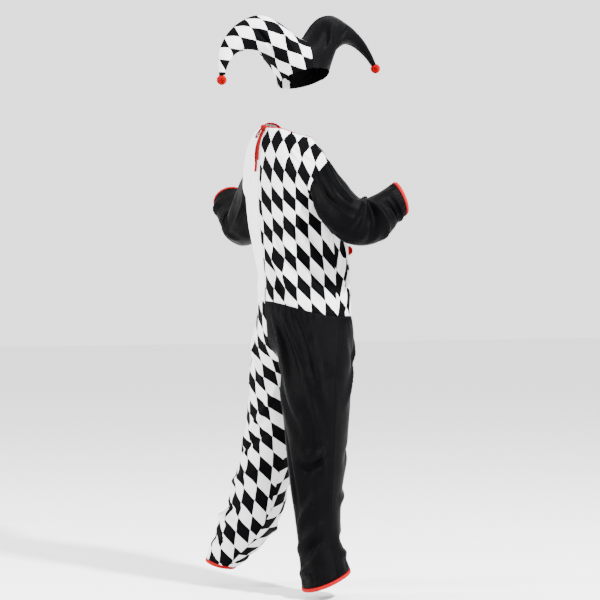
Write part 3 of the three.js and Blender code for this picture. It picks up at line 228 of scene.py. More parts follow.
# How much of the lean the cloth has at each height, and how the side of the back rises and drops
LEAN_SHARE = table("z share", (900, 1.0), (1250, 0.9), (1340, 1.05), (1380, 0.85), (1460, 0.7),
    (1490, 0.4), (1530, 0.1), (1700, 0.0))
SIDE_SHIFT = table("z rise spread", (1240, 22, 75), (1440, -20, 70))
SIDE_SHIFT_ACROSS = dict(x=100, width=150)
FRONT_SWEEP = dict(rise=66, width=60, z=260, fade=40)

CAMERA = dict(azimuth=238, distance=6000, height=1000, lens=105.9, sensor=36, clip_end=50)
LIGHTS = {
    "key": dict(place=(-4.4, -0.9, 3.4), target=(0, 0, -0.5), size=0.5, power=1900),
    "fill": dict(place=(2.4, 4.6, 0.9), target=(0, 0, -0.7), size=1.2, power=620),
}
SKY_STRENGTH = 2.2
FLOOR_SIZE = 60
KNOT = dict(width=25, height=20, depth=14, up=0, clear=1.2, rings=28, sides=18)
LOOP = dict(way=(0.6, 0.16, -0.78), along=7.1, behind=3.2, out=2.5, half_length=19.2, half_width=6.6,
            points=40, width=5.0, thick=1.3)
RIBBON = dict(width=9, thick=1.6)
TAILS = {
    "long": table("z x clear", (1574, 5, 4.4), (1548, 11, 5), (1520, 15, 5), (1490, 16, 5),
        (1460, 14, 5), (1431, 15, 6)),
    "short": table("z x clear", (1573.8, -4, 4.4), (1548, 1, 6), (1520, 5, 5), (1495, 4, 5), (1470, 6, 5)),
}
TAIL_TURN = dict(start=0.15, long=0.95, short=0.7)
BINDING_WIDTH = dict(neck=7, cuff=11, hem=12)
STITCH = dict(pitch=5.2, length=3.2, radius=0.45, inset=1.8, proud=1.15, sides=5)
POMPOM = dict(core=10.5, reach=17.5, strands=1300, rings=14, sides=20, uneven=(0.86, 1.0), bend=(0.5, 2.6))
STRAND = table("far radius", (0, 0.75), (0.5, 0.85), (0.85, 0.7), (1.0, 0.3))
STRAND_ROOT = 0.8


def metres(p):
    return (np.asarray(p, float) - ORIGIN) / 1000


# Reading a table on a smooth curve through its rows
def read(rows, key, value):
    last = len(rows) - 1
    rising = 1 if rows[last][key] > rows[0][key] else -1
    i = 0
    while i < last - 1 and (rows[i + 1][key] - value) * rising < 0:
        i += 1
    span = rows[i + 1][key] - rows[i][key]
    t = min(1, max(0, (value - rows[i][key]) / span))

    def slope(a, b, name):
        return (rows[b][name] - rows[a][name]) / (rows[b][key] - rows[a][key])

    out = {}
    for name in rows[0]:
        here = slope(i, i + 1, name)
        before = slope(i - 1, i + 1, name) if i > 0 else here
        after = slope(i, i + 2, name) if i < last - 1 else here
        out[name] = ((2 * t**3 - 3 * t**2 + 1) * rows[i][name] + (t**3 - 2 * t**2 + t) * span * before
                     + (3 * t**2 - 2 * t**3) * rows[i + 1][name] + (t**3 - t**2) * span * after)
    return out


def unit(v):
    return v / np.linalg.norm(v, axis=-1, keepdims=True)


# The part of v that is square to the axes, made one long
def square_to(v, *axes):
    for axis in axes:
        v = v - axis * np.sum(v * axis, axis=-1, keepdims=True)
    return unit(v)


# How far each point lies from the first, along the rows or the columns of a grid
def length_along(points, axis=0):
    step = np.linalg.norm(np.diff(points, axis=axis), axis=-1)
    start = np.zeros_like(np.take(step, [0], axis=axis))
    return np.concatenate([start, np.cumsum(step, axis=axis)], axis=axis)


def on_body(x, y, z):
    line = read(BODY_LINE, "z", z)
    turn = math.radians(line["turn"])
    c, s = math.cos(turn), math.sin(turn)
    return np.array([line["x"] + c * x - s * y, line["y"] + s * x + c * y, z])


def curve(start, start_pull, end, end_pull, cells):
    start, end = np.asarray(start, float), np.asarray(end, float)
    a, b = start + start_pull, end + end_pull
    t = np.linspace(0, 1, cells + 1)[:, None]
    return (1 - t)**3 * start + 3 * (1 - t)**2 * t * a + 3 * (1 - t) * t**2 * b + t**3 * end


def relaxed(grid):
    for _ in range(RELAX_PASSES):
        around = (grid[:-2, 1:-1] + grid[2:, 1:-1] + grid[1:-1, :-2] + grid[1:-1, 2:]) / 4
        grid = grid.copy()
        grid[1:-1, 1:-1] = 0.5 * grid[1:-1, 1:-1] + 0.5 * around
    return grid


def torso_panel(side, face):
    out = 1 if side == "left" else -1
    away = 1 if face == "back" else -1
    low, high = (WAIST_BACK_Z, NECK_BACK_Z) if face == "back" else (WAIST_Z, NECK_FRONT_Z)
    rows = []
    for r in range(TORSO_ROWS + 1):
        pull = read(CENTRE_PULL, "row", r)
        if r <= CENTRE_ROWS:
            z = low + (high - low) * (r / CENTRE_ROWS)
            girth = read(TORSO_GIRTH, "z", z)
            start = np.array([out * girth["frontX"] if face == "front" else 0, away * girth[face], z])
        else:
            angle = (r - CENTRE_ROWS) / (TORSO_ROWS - CENTRE_ROWS) * math.pi / 2
            z = high + (NECK_SIDE_Z[side] - high) * math.sin(angle)**4
            start = np.array([NECK_HALF_WIDTH * math.sin(angle), away * NECK_HALF_DEPTH * math.cos(angle), z])
        if r <= SIDE_ROWS:
            z = WAIST_Z + (ARMPIT_Z - WAIST_Z) * (r / SIDE_ROWS)
            girth = read(TORSO_GIRTH, "z", z)
            end = np.array([girth["half"], SIDE_SEAM_Y, z])
            dip = -ARMPIT_DIP * (r / SIDE_ROWS)**3
            end_pull = np.array([0, away * 0.5 * (girth[face] - away * SIDE_SEAM_Y), dip])
            if r == SIDE_ROWS:
                end[0] = ARMHOLE[face][0]["x"]
        else:
            at = (r - SIDE_ROWS) / (TORSO_ROWS - SIDE_ROWS)
            hole = read(ARMHOLE[face], "at", at)
            end = np.array([hole["x"], hole["y"], hole["z"] + SHOULDER_LIFT[side] * at])
            end_pull = np.array([hole["toX"], hole["toY"], hole["toZ"]])
        drop = pull["drop"] if face == "front" else 0
        start_pull = np.array([pull["x"], away * pull["y"], pull["z"] - drop]) * PULL_SCALE
        if r <= CENTRE_ROWS:
            start_pull[1] += SEAM_SLANT * start[0] * start_pull[0]
        points = curve(start, start_pull, end, end_pull, ACROSS)
        rows.append([on_body(out * p[0], p[1], p[2]) for p in points])
    return relaxed(np.array(rows))


def hip_row(side, face, at):
    out = 1 if side == "left" else -1
    away = 1 if face == "back" else -1
    h = read(HIPS, "at", at)
    seam_z = h["seamBackZ"] if face == "back" else h["seamFrontZ"]
    start = on_body(h["seamX"], away * h[face], seam_z)
    end = on_body(out * h[side], h["sideY"], h["sideZ"])
    return curve(start, [out * h["pullX"], away * h["pullY"], 0], end, [0, away * h["sidePull"], 0], ACROSS)


def leg_row(side, face, z):
    here, above, below = (read(LEG[side], "z", k) for k in (z, z + 12, z - 12))
    axis = unit(np.array([above[k] - below[k] for k in "xyz"]))
    outward = square_to(np.array([1.0 if side == "left" else -1.0, 0, 0]), axis)
    back = np.cross(axis, outward) if side == "left" else np.cross(outward, axis)
    tip = math.radians(here["tip"])
    back = back * math.cos(tip) + np.cross(outward, back) * math.sin(tip)
    centre = np.array([here["x"], here["y"], here["z"]])
    pull = back * (1 if face == "back" else -1) * 4 * here[face] / 3
    return curve(centre - outward * here["in"], pull, centre + outward * here["out"], pull, ACROSS)


def leg_panel(side, face, waist_row):
    rows = [waist_row] + [hip_row(side, face, r / HIP_ROWS) for r in range(1, HIP_ROWS + 1)]
    crotch, hem = HIPS[-1]["sideZ"], LEG[side][-1]["z"]
    rows += [leg_row(side, face, crotch + (hem - crotch) * r / LEG_ROWS) for r in range(1, LEG_ROWS + 1)]
    return relaxed(np.array(rows))


def sleeve_rings(side, loop):
    start = loop.mean(axis=0) + np.array(ARM[side]["start"])
    elbow, cuff = (np.array(ARM[side][k], float) for k in ("elbow", "cuff"))
    bend = ARM[side]["bend"]
    upper, fore = unit(elbow - start), unit(cuff - elbow)
    axis = unit(np.cross(upper, fore))
    angle = math.acos(upper.dot(fore))
    cut = bend * math.tan(angle / 2)
    bend_start = elbow - upper * cut
    lengths = [np.linalg.norm(bend_start - start), bend * angle, np.linalg.norm(cuff - elbow) - cut]
    total = sum(lengths)

    def turned(v, a):
        return v * math.cos(a) + np.cross(axis, v) * math.sin(a)

    def line(at):
        far = at * total
        if far <= lengths[0]:
            return upper, start + upper * far
        if far >= lengths[0] + lengths[1]:
            return fore, cuff - fore * (total - far)
        a = (far - lengths[0]) / bend
        inward = np.cross(axis, upper)
        return turned(upper, a), bend_start + inward * bend + turned(-inward * bend, a)

    count = len(loop)
    outside0 = np.cross(upper, axis)
    under = loop[0] - loop[count // 2]
    base = math.atan2(under.dot(outside0), under.dot(axis))
    behind = loop[count // 4] - loop[3 * count // 4]
    quarter = math.atan2(behind.dot(outside0), behind.dot(axis))
    sense = 1 if math.sin(quarter - base) > 0 else -1
    rings = [loop.copy()]
    for j in range(1, SLEEVE_ROWS + 1):
        at = j / SLEEVE_ROWS
        size = read(SLEEVE[side], "at", at)
        tangent, point = line(at)
        outside = np.cross(tangent, axis)
        b = min(1, at / SLEEVE_EASE)
        b = b * b * (3 - 2 * b)
        cut_back = min(1, max(0, (at - SLANT_START) / (1 - SLANT_START)))
        cut_back = ARM[side]["slant"] * cut_back**2 * (3 - 2 * cut_back)
        ring = []
        for i, p in enumerate(loop):
            a = base + sense * i * 2 * math.pi / count
            c, s = math.cos(a), math.sin(a)
            q = (point + axis * (size["across"] if c > 0 else size["under"]) * c
                 + outside * (size["outside"] if s > 0 else size["inside"]) * s
                 - tangent * cut_back * (1 + s) / 2)
            ring.append((p + point - start) * (1 - b) + q * b)
        rings.append(np.array(ring))
    return np.array(rings)


def hat_panel(side, face):
    out = 1 if side == "left" else -1
    away = 1 if face == "front" else -1
    turn = math.radians(HAT_PLACE["turn"])
    c, s = math.cos(turn), math.sin(turn)
    share = HAT_RIM_ROWS / HAT_ROWS
    rows = []
    for r in range(HAT_ROWS + 1):
        at = r / HAT_ROWS
        h = read(HORN[side], "at", at)
        start = np.array([out * h["lowSide"], 0.0, h["lowZ"]])
        pull = np.array([0.0, away * 4 * h["depth"] / 3, 0.0])
        top_pull = pull.copy()
        if r <= HAT_RIM_ROWS:
            first = -out * FRONT_SEAM_TURN if face == "front" else 0
            angle = first + at / share * (math.pi / 2 - first)
            start[0] = out * HAT_RIM["side"] * math.sin(angle)
            start[1] = away * HAT_RIM["depth"] * math.cos(angle)
            rise = HAT_RIM["front_rise"] * start[1] / HAT_RIM["depth"]
            start[2] = HAT_RIM["z"] + rise + HAT_RIM["left_rise"] * start[0] / HAT_RIM["side"]
            upright = math.cos(angle)
            pull = pull * (1 - upright)
            pull[2] = HAT_RIM["upright"] * upright
            top_pull = top_pull * (1 - HAT_RIM["top_loss"] * upright)
        end = np.array([out * h["topSide"], 0.0, h["topZ"]])
        rows.append(curve(start, pull, end, top_pull, HAT_ACROSS))
    flat = relaxed(np.array(rows))
    x, y = flat[..., 0], flat[..., 1]
    place = np.stack([HAT_PLACE["x"] + c * x + s * y, HAT_PLACE["y"] + s * x - c * y, flat[..., 2]], axis=-1)
    return place, flat


# A finer grid through a coarse one
def refiner(count, k, closed=False):
    steps = count * k if closed else (count - 1) * k + 1
    m = np.zeros((steps, count))
    for i in range(steps):
        j = i // k if closed else min(i // k, count - 2)
        t = i / k - j
        weights = [2 * t**3 - 3 * t**2 + 1, 3 * t**2 - 2 * t**3, t**3 - 2 * t**2 + t, t**3 - t**2]
        m[i, j % count] += weights[0]
        m[i, (j + 1) % count] += weights[1]
        for node, w in ((j, weights[2]), (j + 1, weights[3])):
            a, b = node - 1, node + 1
            if not closed:
                a, b = max(0, a), min(count - 1, b)
            m[i, b % count] += w / (b - a)
            m[i, a % count] -= w / (b - a)
    return m


# The cut piece of cloth: a flat grid whose edges and diagonals keep their lengths
def flattened(grid, flat, pinned=None):
    pairs = [(np.s_[:, :-1], np.s_[:, 1:]), (np.s_[:-1, :], np.s_[1:, :]),
             (np.s_[:-1, :-1], np.s_[1:, 1:]), (np.s_[:-1, 1:], np.s_[1:, :-1])]
    rest = [np.linalg.norm(grid[a] - grid[b], axis=-1, keepdims=True) for a, b in pairs]
    for _ in range(FLATTEN_PASSES):
        move, weight = np.zeros_like(flat), np.zeros(flat.shape[:2] + (1,))
        for (a, b), length in zip(pairs, rest):
            gap = flat[b] - flat[a]
            now = np.linalg.norm(gap, axis=-1, keepdims=True) + 1e-9
            push = gap * (0.5 * (1 - length / now))
            move[a] += push
            move[b] -= push
            weight[a] += 1
            weight[b] += 1
        step = move / weight * FLATTEN_PUSH
        if pinned is not None:
            step[pinned] = 0
        flat = flat + step
    return flat


# A rough flat layout to start from, and the seam that stays straight
def first_layout(name, grid):
    x = length_along(grid, 1)
    if name.startswith("torso"):
        seam = np.s_[:CENTRE_ROWS + 1, 0] if "back" in name else np.s_[:SIDE_ROWS + 1, -1]
        turn = np.clip((np.arange(len(grid)) - CENTRE_ROWS) / (TORSO_ROWS - CENTRE_ROWS), 0, 1)
        x = x + NECK_HALF_WIDTH * np.sin(turn * math.pi / 2)[:, None]
        if "front" in name:
            x = x[SIDE_ROWS, -1] - x
            x[:SIDE_ROWS + 1] -= x[:SIDE_ROWS + 1, -1:]
        z = grid[..., 2].copy()
        climb = length_along(grid[seam])
        level = WAIST_BACK_Z if "back" in name else WAIST_Z
        flat = np.stack([x, z], axis=-1)
        flat[seam] = np.stack([np.zeros(len(climb)), level + climb], axis=-1)
        return flat, seam
    drop = length_along(grid[:, grid.shape[1] // 2])
    return np.stack([x - x[:, -1:] / 2, 1000 - drop[:, None] + 0 * x], axis=-1), None


class Panel:
    def __init__(self, name, coarse, flip, closed=False, flat=None):
        self.name, self.flip, self.closed = name, flip, closed
        if name.startswith("hat"):
            spread = length_along(coarse, 1)
            chord = (flat[:, -1:] - flat[:, :1])[..., [0, 2]]
            size = np.linalg.norm(chord, axis=2, keepdims=True) + 1e-6
            middle = (flat[:, -1:] + flat[:, :1])[..., [0, 2]] / 2
            flat = flattened(coarse, middle + chord / size * (spread - spread[:, -1:] / 2)[..., None])
        elif not closed:
            flat = flattened(coarse, *first_layout(name, coarse))
        self.rows, self.cells = coarse.shape[0] - 1, coarse.shape[1] - (0 if closed else 1)
        along = refiner(coarse.shape[0], REFINE)
        across = refiner(coarse.shape[1], REFINE, closed)
        self.p = np.einsum("ai,bj,ijk->abk", along, across, coarse)
        self.flat = None if flat is None else np.einsum("ai,bj,ijk->abk", along, across, flat)
        self.r = np.arange(self.p.shape[0])[:, None] / REFINE + np.zeros(self.p.shape[:2])
        self.c = np.arange(self.p.shape[1])[None, :] / REFINE + np.zeros(self.p.shape[:2])

    def quads(self):
        h, w = self.p.shape[:2]
        ids = np.arange(h * w).reshape(h, w)
        right = np.roll(ids, -1, axis=1) if self.closed else ids[:, 1:]
        left = ids if self.closed else ids[:, :-1]
        q = np.stack([left[:-1], right[:-1], right[1:], left[1:]], axis=-1).reshape(-1, 4)
        return q[:, ::-1] if self.flip else q


SIDES, FACES = ("right", "left"), ("back", "front")
PANELS = {}
for side in SIDES:
    torso = {}
    for face in FACES:
        flip = (side == "left") == (face == "back")
        torso[face] = torso_panel(side, face)
        PANELS[f"torso_{face}_{side}"] = Panel(f"torso_{face}_{side}", torso[face], flip)
        leg = leg_panel(side, face, torso[face][0])
        PANELS[f"leg_{side}_{face}"] = Panel(f"leg_{side}_{face}", leg, not flip)
        place, flat = hat_panel(side, face)
        PANELS[f"hat_{side}_{face}"] = Panel(f"hat_{side}_{face}", place, flip, flat=flat)
    loop = np.concatenate([torso["back"][SIDE_ROWS:, -1], torso["front"][SIDE_ROWS + 1:TORSO_ROWS, -1][::-1]])
    PANELS[f"sleeve_{side}"] = Panel(f"sleeve_{side}", sleeve_rings(side, loop), side == "right", closed=True)


# Panels that meet at a seam share its points.
def weld(a, b, where):
    middle = (PANELS[a].p[where] + PANELS[b].p[where]) / 2
    PANELS[a].p[where] = middle
    PANELS[b].p[where] = middle


K = REFINE
for side in SIDES:
    weld(f"torso_back_{side}", f"torso_front_{side}", np.s_[:SIDE_ROWS * K + 1, -1])
    weld(f"torso_back_{side}", f"torso_front_{side}", np.s_[-1, :])
    weld(f"leg_{side}_back", f"leg_{side}_front", np.s_[:, -1])
    weld(f"leg_{side}_back", f"leg_{side}_front", np.s_[HIP_ROWS * K:, 0])
    weld(f"hat_{side}_back", f"hat_{side}_front", np.s_[:, -1])
    weld(f"hat_{side}_back", f"hat_{side}_front", np.s_[HAT_RIM_ROWS * K:, 0])
for face in FACES:
    weld(f"torso_{face}_right", f"torso_{face}_left", np.s_[:CENTRE_ROWS * K + 1, 0])
    weld(f"leg_right_{face}", f"leg_left_{face}", np.s_[:HIP_ROWS * K + 1, 0])
    weld(f"hat_right_{face}", f"hat_left_{face}", np.s_[0, :])
for side in SIDES:
    for face in FACES:
        PANELS[f"leg_{side}_{face}"].p[0] = PANELS[f"torso_{face}_{side}"].p[0]
    back, front = PANELS[f"torso_back_{side}"].p, PANELS[f"torso_front_{side}"].p
    ring = np.concatenate([back[SIDE_ROWS * K:, -1], front[SIDE_ROWS * K + 1:TORSO_ROWS * K, -1][::-1]])
    PANELS[f"sleeve_{side}"].p[0] = ring


def shared_normals(panels):
    keys, sums = [], []
    for panel in panels:
        flat = panel.p.reshape(-1, 3)
        q = panel.quads()
        n = np.cross(flat[q[:, 2]] - flat[q[:, 0]], flat[q[:, 3]] - flat[q[:, 1]])
        total = np.zeros_like(flat)
        for k in range(4):
            np.add.at(total, q[:, k], n)
        keys.append(np.round(flat * 50).astype(np.int64))
        sums.append(total)
    _, where = np.unique(np.concatenate(keys), axis=0, return_inverse=True)
    merged = np.zeros((where.max() + 1, 3))
    np.add.at(merged, where.ravel(), np.concatenate(sums))
    merged = merged[where.ravel()]
    merged /= np.linalg.norm(merged, axis=1)[:, None] + 1e-12
    at = 0
    for panel in panels:
        size = panel.p.shape[0] * panel.p.shape[1]
        panel.n = merged[at:at + size].reshape(panel.p.shape)
        at += size


def lift(panel):
    r, c = panel.r, panel.c
    rows_left = np.minimum(r, panel.rows - r)
    cells_left = rows_left if panel.closed else np.minimum(rows_left, np.minimum(c, panel.cells - c))
    rise = np.zeros(r.shape)
    for f in FOLDS:
        if f["panel"] != panel.name:
            continue
        dr, dc = f["r1"] - f["r0"], f["c1"] - f["c0"]
        t = np.clip(((r - f["r0"]) * dr + (c - f["c0"]) * dc) / (dr * dr + dc * dc), 0, 1)
        far = np.hypot(r - f["r0"] - t * dr, c - f["c0"] - t * dc)
        ends = np.minimum(1, 0.25 + 3 * np.minimum(t, 1 - t))
        rise += f["rise"] * ends * np.exp(-(far / f["wide"])**2)
    rise *= np.minimum(1, cells_left / 2)
    fine = np.zeros(r.shape)
    for number, f in enumerate(CREASES):
        if f["panel"] != panel.name:
            continue
        steps = np.linspace(0, 1, CREASE_STEPS)
        br = (1 - steps)**2 * f["r0"] + 2 * steps * (1 - steps) * f["rm"] + steps**2 * f["r1"]
        bc = (1 - steps)**2 * f["c0"] + 2 * steps * (1 - steps) * f["cm"] + steps**2 * f["c1"]
        far = np.hypot(r[..., None] - br, c[..., None] - bc)
        nearest = far.argmin(axis=-1)
        far = far.min(axis=-1)
        t = steps[nearest]
        ends = np.sin(np.pi * np.clip(t, 0.02, 0.98))**0.6
        uneven = 1 + CREASE_UNEVEN * np.sin(7 * t + 1.7 * number) * (1 - t)
        wide = f["wide"] * (0.9 + 0.5 * t)
        shoulder = CREASE_SHOULDER * np.exp(-(far / (SHOULDER_SPREAD * wide))**2)
        fine += CREASE_DEPTH * f["rise"] * uneven * ends * (np.exp(-(far / wide)**2) - shoulder)
    rise += fine * np.minimum(1, cells_left / 0.8)
    return rise + ripples(panel, cells_left)


# Small puckers along the gathered seams and the bound edges
def ripples(panel, cells_left):
    r, c = panel.r, panel.c
    name = panel.name
    rise = np.zeros(r.shape)
    wander = 0.6 * np.sin(1.3 * c + 0.7) + 0.4 * np.sin(2.9 * c)
    if name.startswith("torso") or name.startswith("leg"):
        waist = np.exp(-(r / 0.75)**2) * np.minimum(1, r / 0.25)
        broad = np.sin(2 * math.pi * (1.15 * c + 0.35 * wander)) * np.minimum(1, cells_left / 0.3)
        narrow = np.sin(2 * math.pi * (2.3 * c + 0.6 * wander) + 1.1)
        rise += waist * (RIPPLE["waist"] * broad + RIPPLE["waist_fine"] * narrow)
    if name.startswith("leg") or name.startswith("sleeve"):
        up = panel.rows - r
        edge = np.exp(-(up / 0.8)**2) * np.minimum(1, up / 0.3)
        rise += RIPPLE["hem"] * edge * np.sin(2 * math.pi * (0.9 * c + 0.4 * np.sin(1.7 * c)))
    if name.startswith("sleeve"):
        top = np.exp(-(r / 1.1)**2) * np.minimum(1, r / 0.3)
        rise += RIPPLE["armhole"] * top * np.sin(2 * math.pi * (0.75 * c + 0.3 * np.sin(0.9 * c)))
    uneven = np.sin(1.9 * r + 0.8 * c) * np.sin(1.4 * c - 0.6 * r)
    return rise + RIPPLE["all_over"] * uneven * np.minimum(1, cells_left)


def groove(panel):
    r, c = panel.r, panel.c
    depth = np.zeros(r.shape)

    def cut(where):
        np.minimum(depth, np.where(where, -SEAM_DEPTH, 0), out=depth)

    name = panel.name
    eps = 0.01
    if name.startswith("torso"):
        cut(r < eps)
        cut(c > panel.cells - eps)
        cut(r > panel.rows - eps)
        cut((c < eps) & (r < CENTRE_ROWS - eps))
    elif name.startswith("leg"):
        cut(r < eps)
        cut(c > panel.cells - eps)
        cut(c < eps)
    elif name.startswith("sleeve"):
        cut(r < eps)
    else:
        cut(c > panel.cells - eps)
        cut(r < eps)
        cut((c < eps) & (r > HAT_RIM_ROWS + eps))
    return depth


# The check: p and q for each point of a panel. p grows by one over a diamond's width, q over its height.
# The lean adds up from the level where the check stands upright.
LEAN_Z = np.linspace(900, 1700, 401)
LEAN = np.interp(LEAN_Z, [row["z"] for row in LEAN_SHARE], [row["share"] for row in LEAN_SHARE])
LEAN_SUM = np.concatenate([[0], np.cumsum((LEAN[1:] + LEAN[:-1]) / 2 * np.diff(LEAN_Z))])
LEAN_SUM = np.interp(BACK_CHECK["upright_z"], LEAN_Z, LEAN_SUM) - LEAN_SUM


def back_check(x, z):
    rise = sum(row["rise"] * np.exp(-((z - row["z"]) / row["spread"])**2) for row in SIDE_SHIFT)
    rise = rise * (x - SIDE_SHIFT_ACROSS["x"]) / SIDE_SHIFT_ACROSS["width"]
    lean = BACK_CHECK["lean"] * np.interp(z, LEAN_Z, LEAN_SUM)
    p = (x - BACK_CHECK["x"] - lean) / BACK_CHECK["width"]
    return p, (z - BACK_CHECK["z"] - rise) / BACK_CHECK["height"]


def front_check(x, z):
    x, z = x - FRONT_CHECK["x"], z - FRONT_CHECK["z"]
    fade = 1 / (1 + np.exp((z - FRONT_SWEEP["z"]) / FRONT_SWEEP["fade"]))
    rise = FRONT_SWEEP["rise"] * np.tanh(x / FRONT_SWEEP["width"]) * fade
    p = (x + FRONT_CHECK["lean"] * z) / FRONT_CHECK["width"]
    return p, (z - rise) / FRONT_CHECK["height"]


def even_check(x, z, check):
    (ax, az), (bx, bz) = check["cell"]
    x, z = x - check["corner"][0], z - check["corner"][1]
    size = ax * bz - bx * az
    a, b = (x * bz - z * bx) / size, (z * ax - x * az) / size
    return (a + b) / 2, (a - b) / 2


def check_map(panel):
    x, z = panel.flat[..., 0], panel.flat[..., 1]
    if panel.name == "torso_back_right":
        return back_check(x, z)
    if panel.name == "torso_front_right":
        return front_check(x, z)
    return even_check(x, z, LEG_CHECK if panel.name.startswith("leg") else HAT_CHECK)


# Materials
def new_material(name):
    m = bpy.data.materials.new(name)
    m.use_nodes = True
    tree = m.node_tree
    shader = tree.nodes["Principled BSDF"]
    return m, tree, shader


def node(tree, kind, **values):
    n = tree.nodes.new(kind)
    for key, value in values.items():
        setattr(n, key, value)
    return n


def maths(tree, operation, a, b=None):
    n = node(tree, "ShaderNodeMath", operation=operation)
    for i, value in enumerate((a, b)):
        if value is None:
            continue
        if isinstance(value, (int, float)):
            n.inputs[i].default_value = value
        else:
            tree.links.new(value, n.inputs[i])
    return n.outputs[0]


def uv_parts(tree, layer):
    uv = node(tree, "ShaderNodeUVMap", uv_map=layer)
    split = node(tree, "ShaderNodeSeparateXYZ")
    tree.links.new(uv.outputs[0], split.inputs[0])
    return split.outputs[0], split.outputs[1]


def noise(tree, scale, detail):
    cloud = node(tree, "ShaderNodeTexNoise")
    cloud.inputs["Scale"].default_value = scale
    cloud.inputs["Detail"].default_value = detail
    coords = node(tree, "ShaderNodeTexCoord")
    tree.links.new(coords.outputs["Object"], cloud.inputs["Vector"])
    return cloud.outputs[0]


def relief(tree, shader, height, strength, distance):
    bump = node(tree, "ShaderNodeBump")
    bump.inputs["Strength"].default_value = strength
    bump.inputs["Distance"].default_value = distance
    tree.links.new(height, bump.inputs["Height"])
    tree.links.new(bump.outputs[0], shader.inputs["Normal"])


def mixed(tree, share, *colours):
    mix = node(tree, "ShaderNodeMix", data_type="RGBA")
    tree.links.new(share, mix.inputs[0])
    for at, colour in zip((6, 7), colours):
        if isinstance(colour, tuple):
            mix.inputs[at].default_value = (*colour, 1)
        else:
            tree.links.new(colour, mix.inputs[at])
    return mix.outputs[2]


def tone(tree, dark, light, scale=14.0):
    return mixed(tree, noise(tree, scale, 4), dark, light)


def surface(tree, shader, colour, roughness, shine):
    tree.links.new(colour, shader.inputs["Base Color"])
    shader.inputs["Roughness"].default_value = roughness
    shader.inputs["Specular IOR Level"].default_value = shine


# Rows of stitches, with fibres over them
def knit(tree, shader, strength):
    u, v = uv_parts(tree, "cloth")
    turns = 2 * math.pi * 10 / KNIT_PITCH
    across = maths(tree, "ABSOLUTE", maths(tree, "SINE", maths(tree, "MULTIPLY", u, turns)))
    rows = maths(tree, "MULTIPLY", v, turns * 0.8)
    along = maths(tree, "SINE", maths(tree, "ADD", rows, maths(tree, "MULTIPLY", across, 1.4)))
    across, along = maths(tree, "MULTIPLY", across, 0.7), maths(tree, "MULTIPLY", along, 0.3)
    fibres = maths(tree, "MULTIPLY", noise(tree, 900, 3), 0.5)
    height = maths(tree, "ADD", maths(tree, "ADD", across, along), fibres)
    relief(tree, shader, height, strength, 0.0004)


BLACK = ((0.0008, 0.0008, 0.0010), (0.0016, 0.0016, 0.0019))
WHITE = ((0.60, 0.60, 0.61), (0.68, 0.68, 0.685))
PRINT_BLACK = ((0.0010, 0.0010, 0.0012), (0.0019, 0.0019, 0.0022))
KNIT_PITCH = 1.5


def plain_cloth(name, tones, sheen, roughness, shine):
    m, tree, shader = new_material(name)
    knit(tree, shader, 0.5)
    surface(tree, shader, tone(tree, *tones), roughness, shine)
    shader.inputs["Sheen Weight"].default_value = sheen
    shader.inputs["Sheen Roughness"].default_value = 0.45
    return m


def check_cloth():
    m, tree, shader = new_material("check_cloth")
    knit(tree, shader, 0.4)
    p, q = uv_parts(tree, "check")
    wobble = maths(tree, "SUBTRACT", noise(tree, 60, 2), 0.5)
    p = maths(tree, "ADD", p, maths(tree, "MULTIPLY", wobble, 0.03))
    a, b = maths(tree, "ADD", p, q), maths(tree, "SUBTRACT", p, q)
    count = maths(tree, "ADD", maths(tree, "FLOOR", a), maths(tree, "FLOOR", b))
    odd = maths(tree, "PINGPONG", count, 1.0)
    surface(tree, shader, mixed(tree, odd, tone(tree, *WHITE), tone(tree, *PRINT_BLACK)), 0.6, 0.012)
    return m


def ribbed(name, dark, light, pitch, roughness):
    m, tree, shader = new_material(name)
    u, _ = uv_parts(tree, "cloth")
    ribs = maths(tree, "SINE", maths(tree, "MULTIPLY", u, math.pi * 10 / pitch))
    relief(tree, shader, maths(tree, "ABSOLUTE", ribs), 0.6, 0.0006)
    surface(tree, shader, tone(tree, dark, light, 90.0), roughness, 0.04)
    return m


# The cloth of each kind of panel, on the wearer's right and left
CLOTH = {
    "torso": ("check_cloth", "white_cloth"),
    "leg": ("black_cloth", "check_cloth"),
    "hat": ("check_cloth", "black_cloth"),
    "sleeve": ("black_cloth", "black_cloth"),
}
MATERIALS = {
    "black_cloth": plain_cloth("black_cloth", BLACK, 0.0, 0.36, 0.016),
    "white_cloth": plain_cloth("white_cloth", WHITE, 0.03, 0.8, 0.2),
    "check_cloth": check_cloth(),
    "red_binding": ribbed("red_binding", (0.19, 0.0, 0.0016), (0.28, 0.0, 0.0026), 1.6, 0.6),
    "red_ribbon": ribbed("red_ribbon", (0.12, 0.0, 0.001), (0.17, 0.0, 0.0015), 0.9, 0.5),
    "red_yarn": ribbed("red_yarn", (0.34, 0.0, 0.0024), (0.46, 0.0, 0.0036), 0.8, 0.75),
    "thread": ribbed("thread", (0.14, 0.0, 0.001), (0.2, 0.0, 0.0018), 0.5, 0.5),
}


def make_mesh(name, points, faces, material, uvs):
    mesh = bpy.data.meshes.new(name)
    mesh.from_pydata([tuple(map(float, p)) for p in metres(points)], [], [tuple(map(int, f)) for f in faces])
    for layer, values in uvs.items():
        data = mesh.uv_layers.new(name=layer).data
        index = np.empty(len(mesh.loops), dtype=np.int64)
        mesh.loops.foreach_get("vertex_index", index)
        data.foreach_set("uv", np.asarray(values, dtype=np.float32)[index].ravel())
    mesh.materials.append(MATERIALS[material])
    mesh.polygons.foreach_set("use_smooth", [True] * len(mesh.polygons))
    mesh.update()
    obj = bpy.data.objects.new(name, mesh)
    bpy.context.scene.collection.objects.link(obj)
    return obj


def fix_outward(obj):
    bm = bmesh.new()
    bm.from_mesh(obj.data)
    bmesh.ops.recalc_face_normals(bm, faces=bm.faces)
    bm.to_mesh(obj.data)
    bm.free()
    obj.data.update()


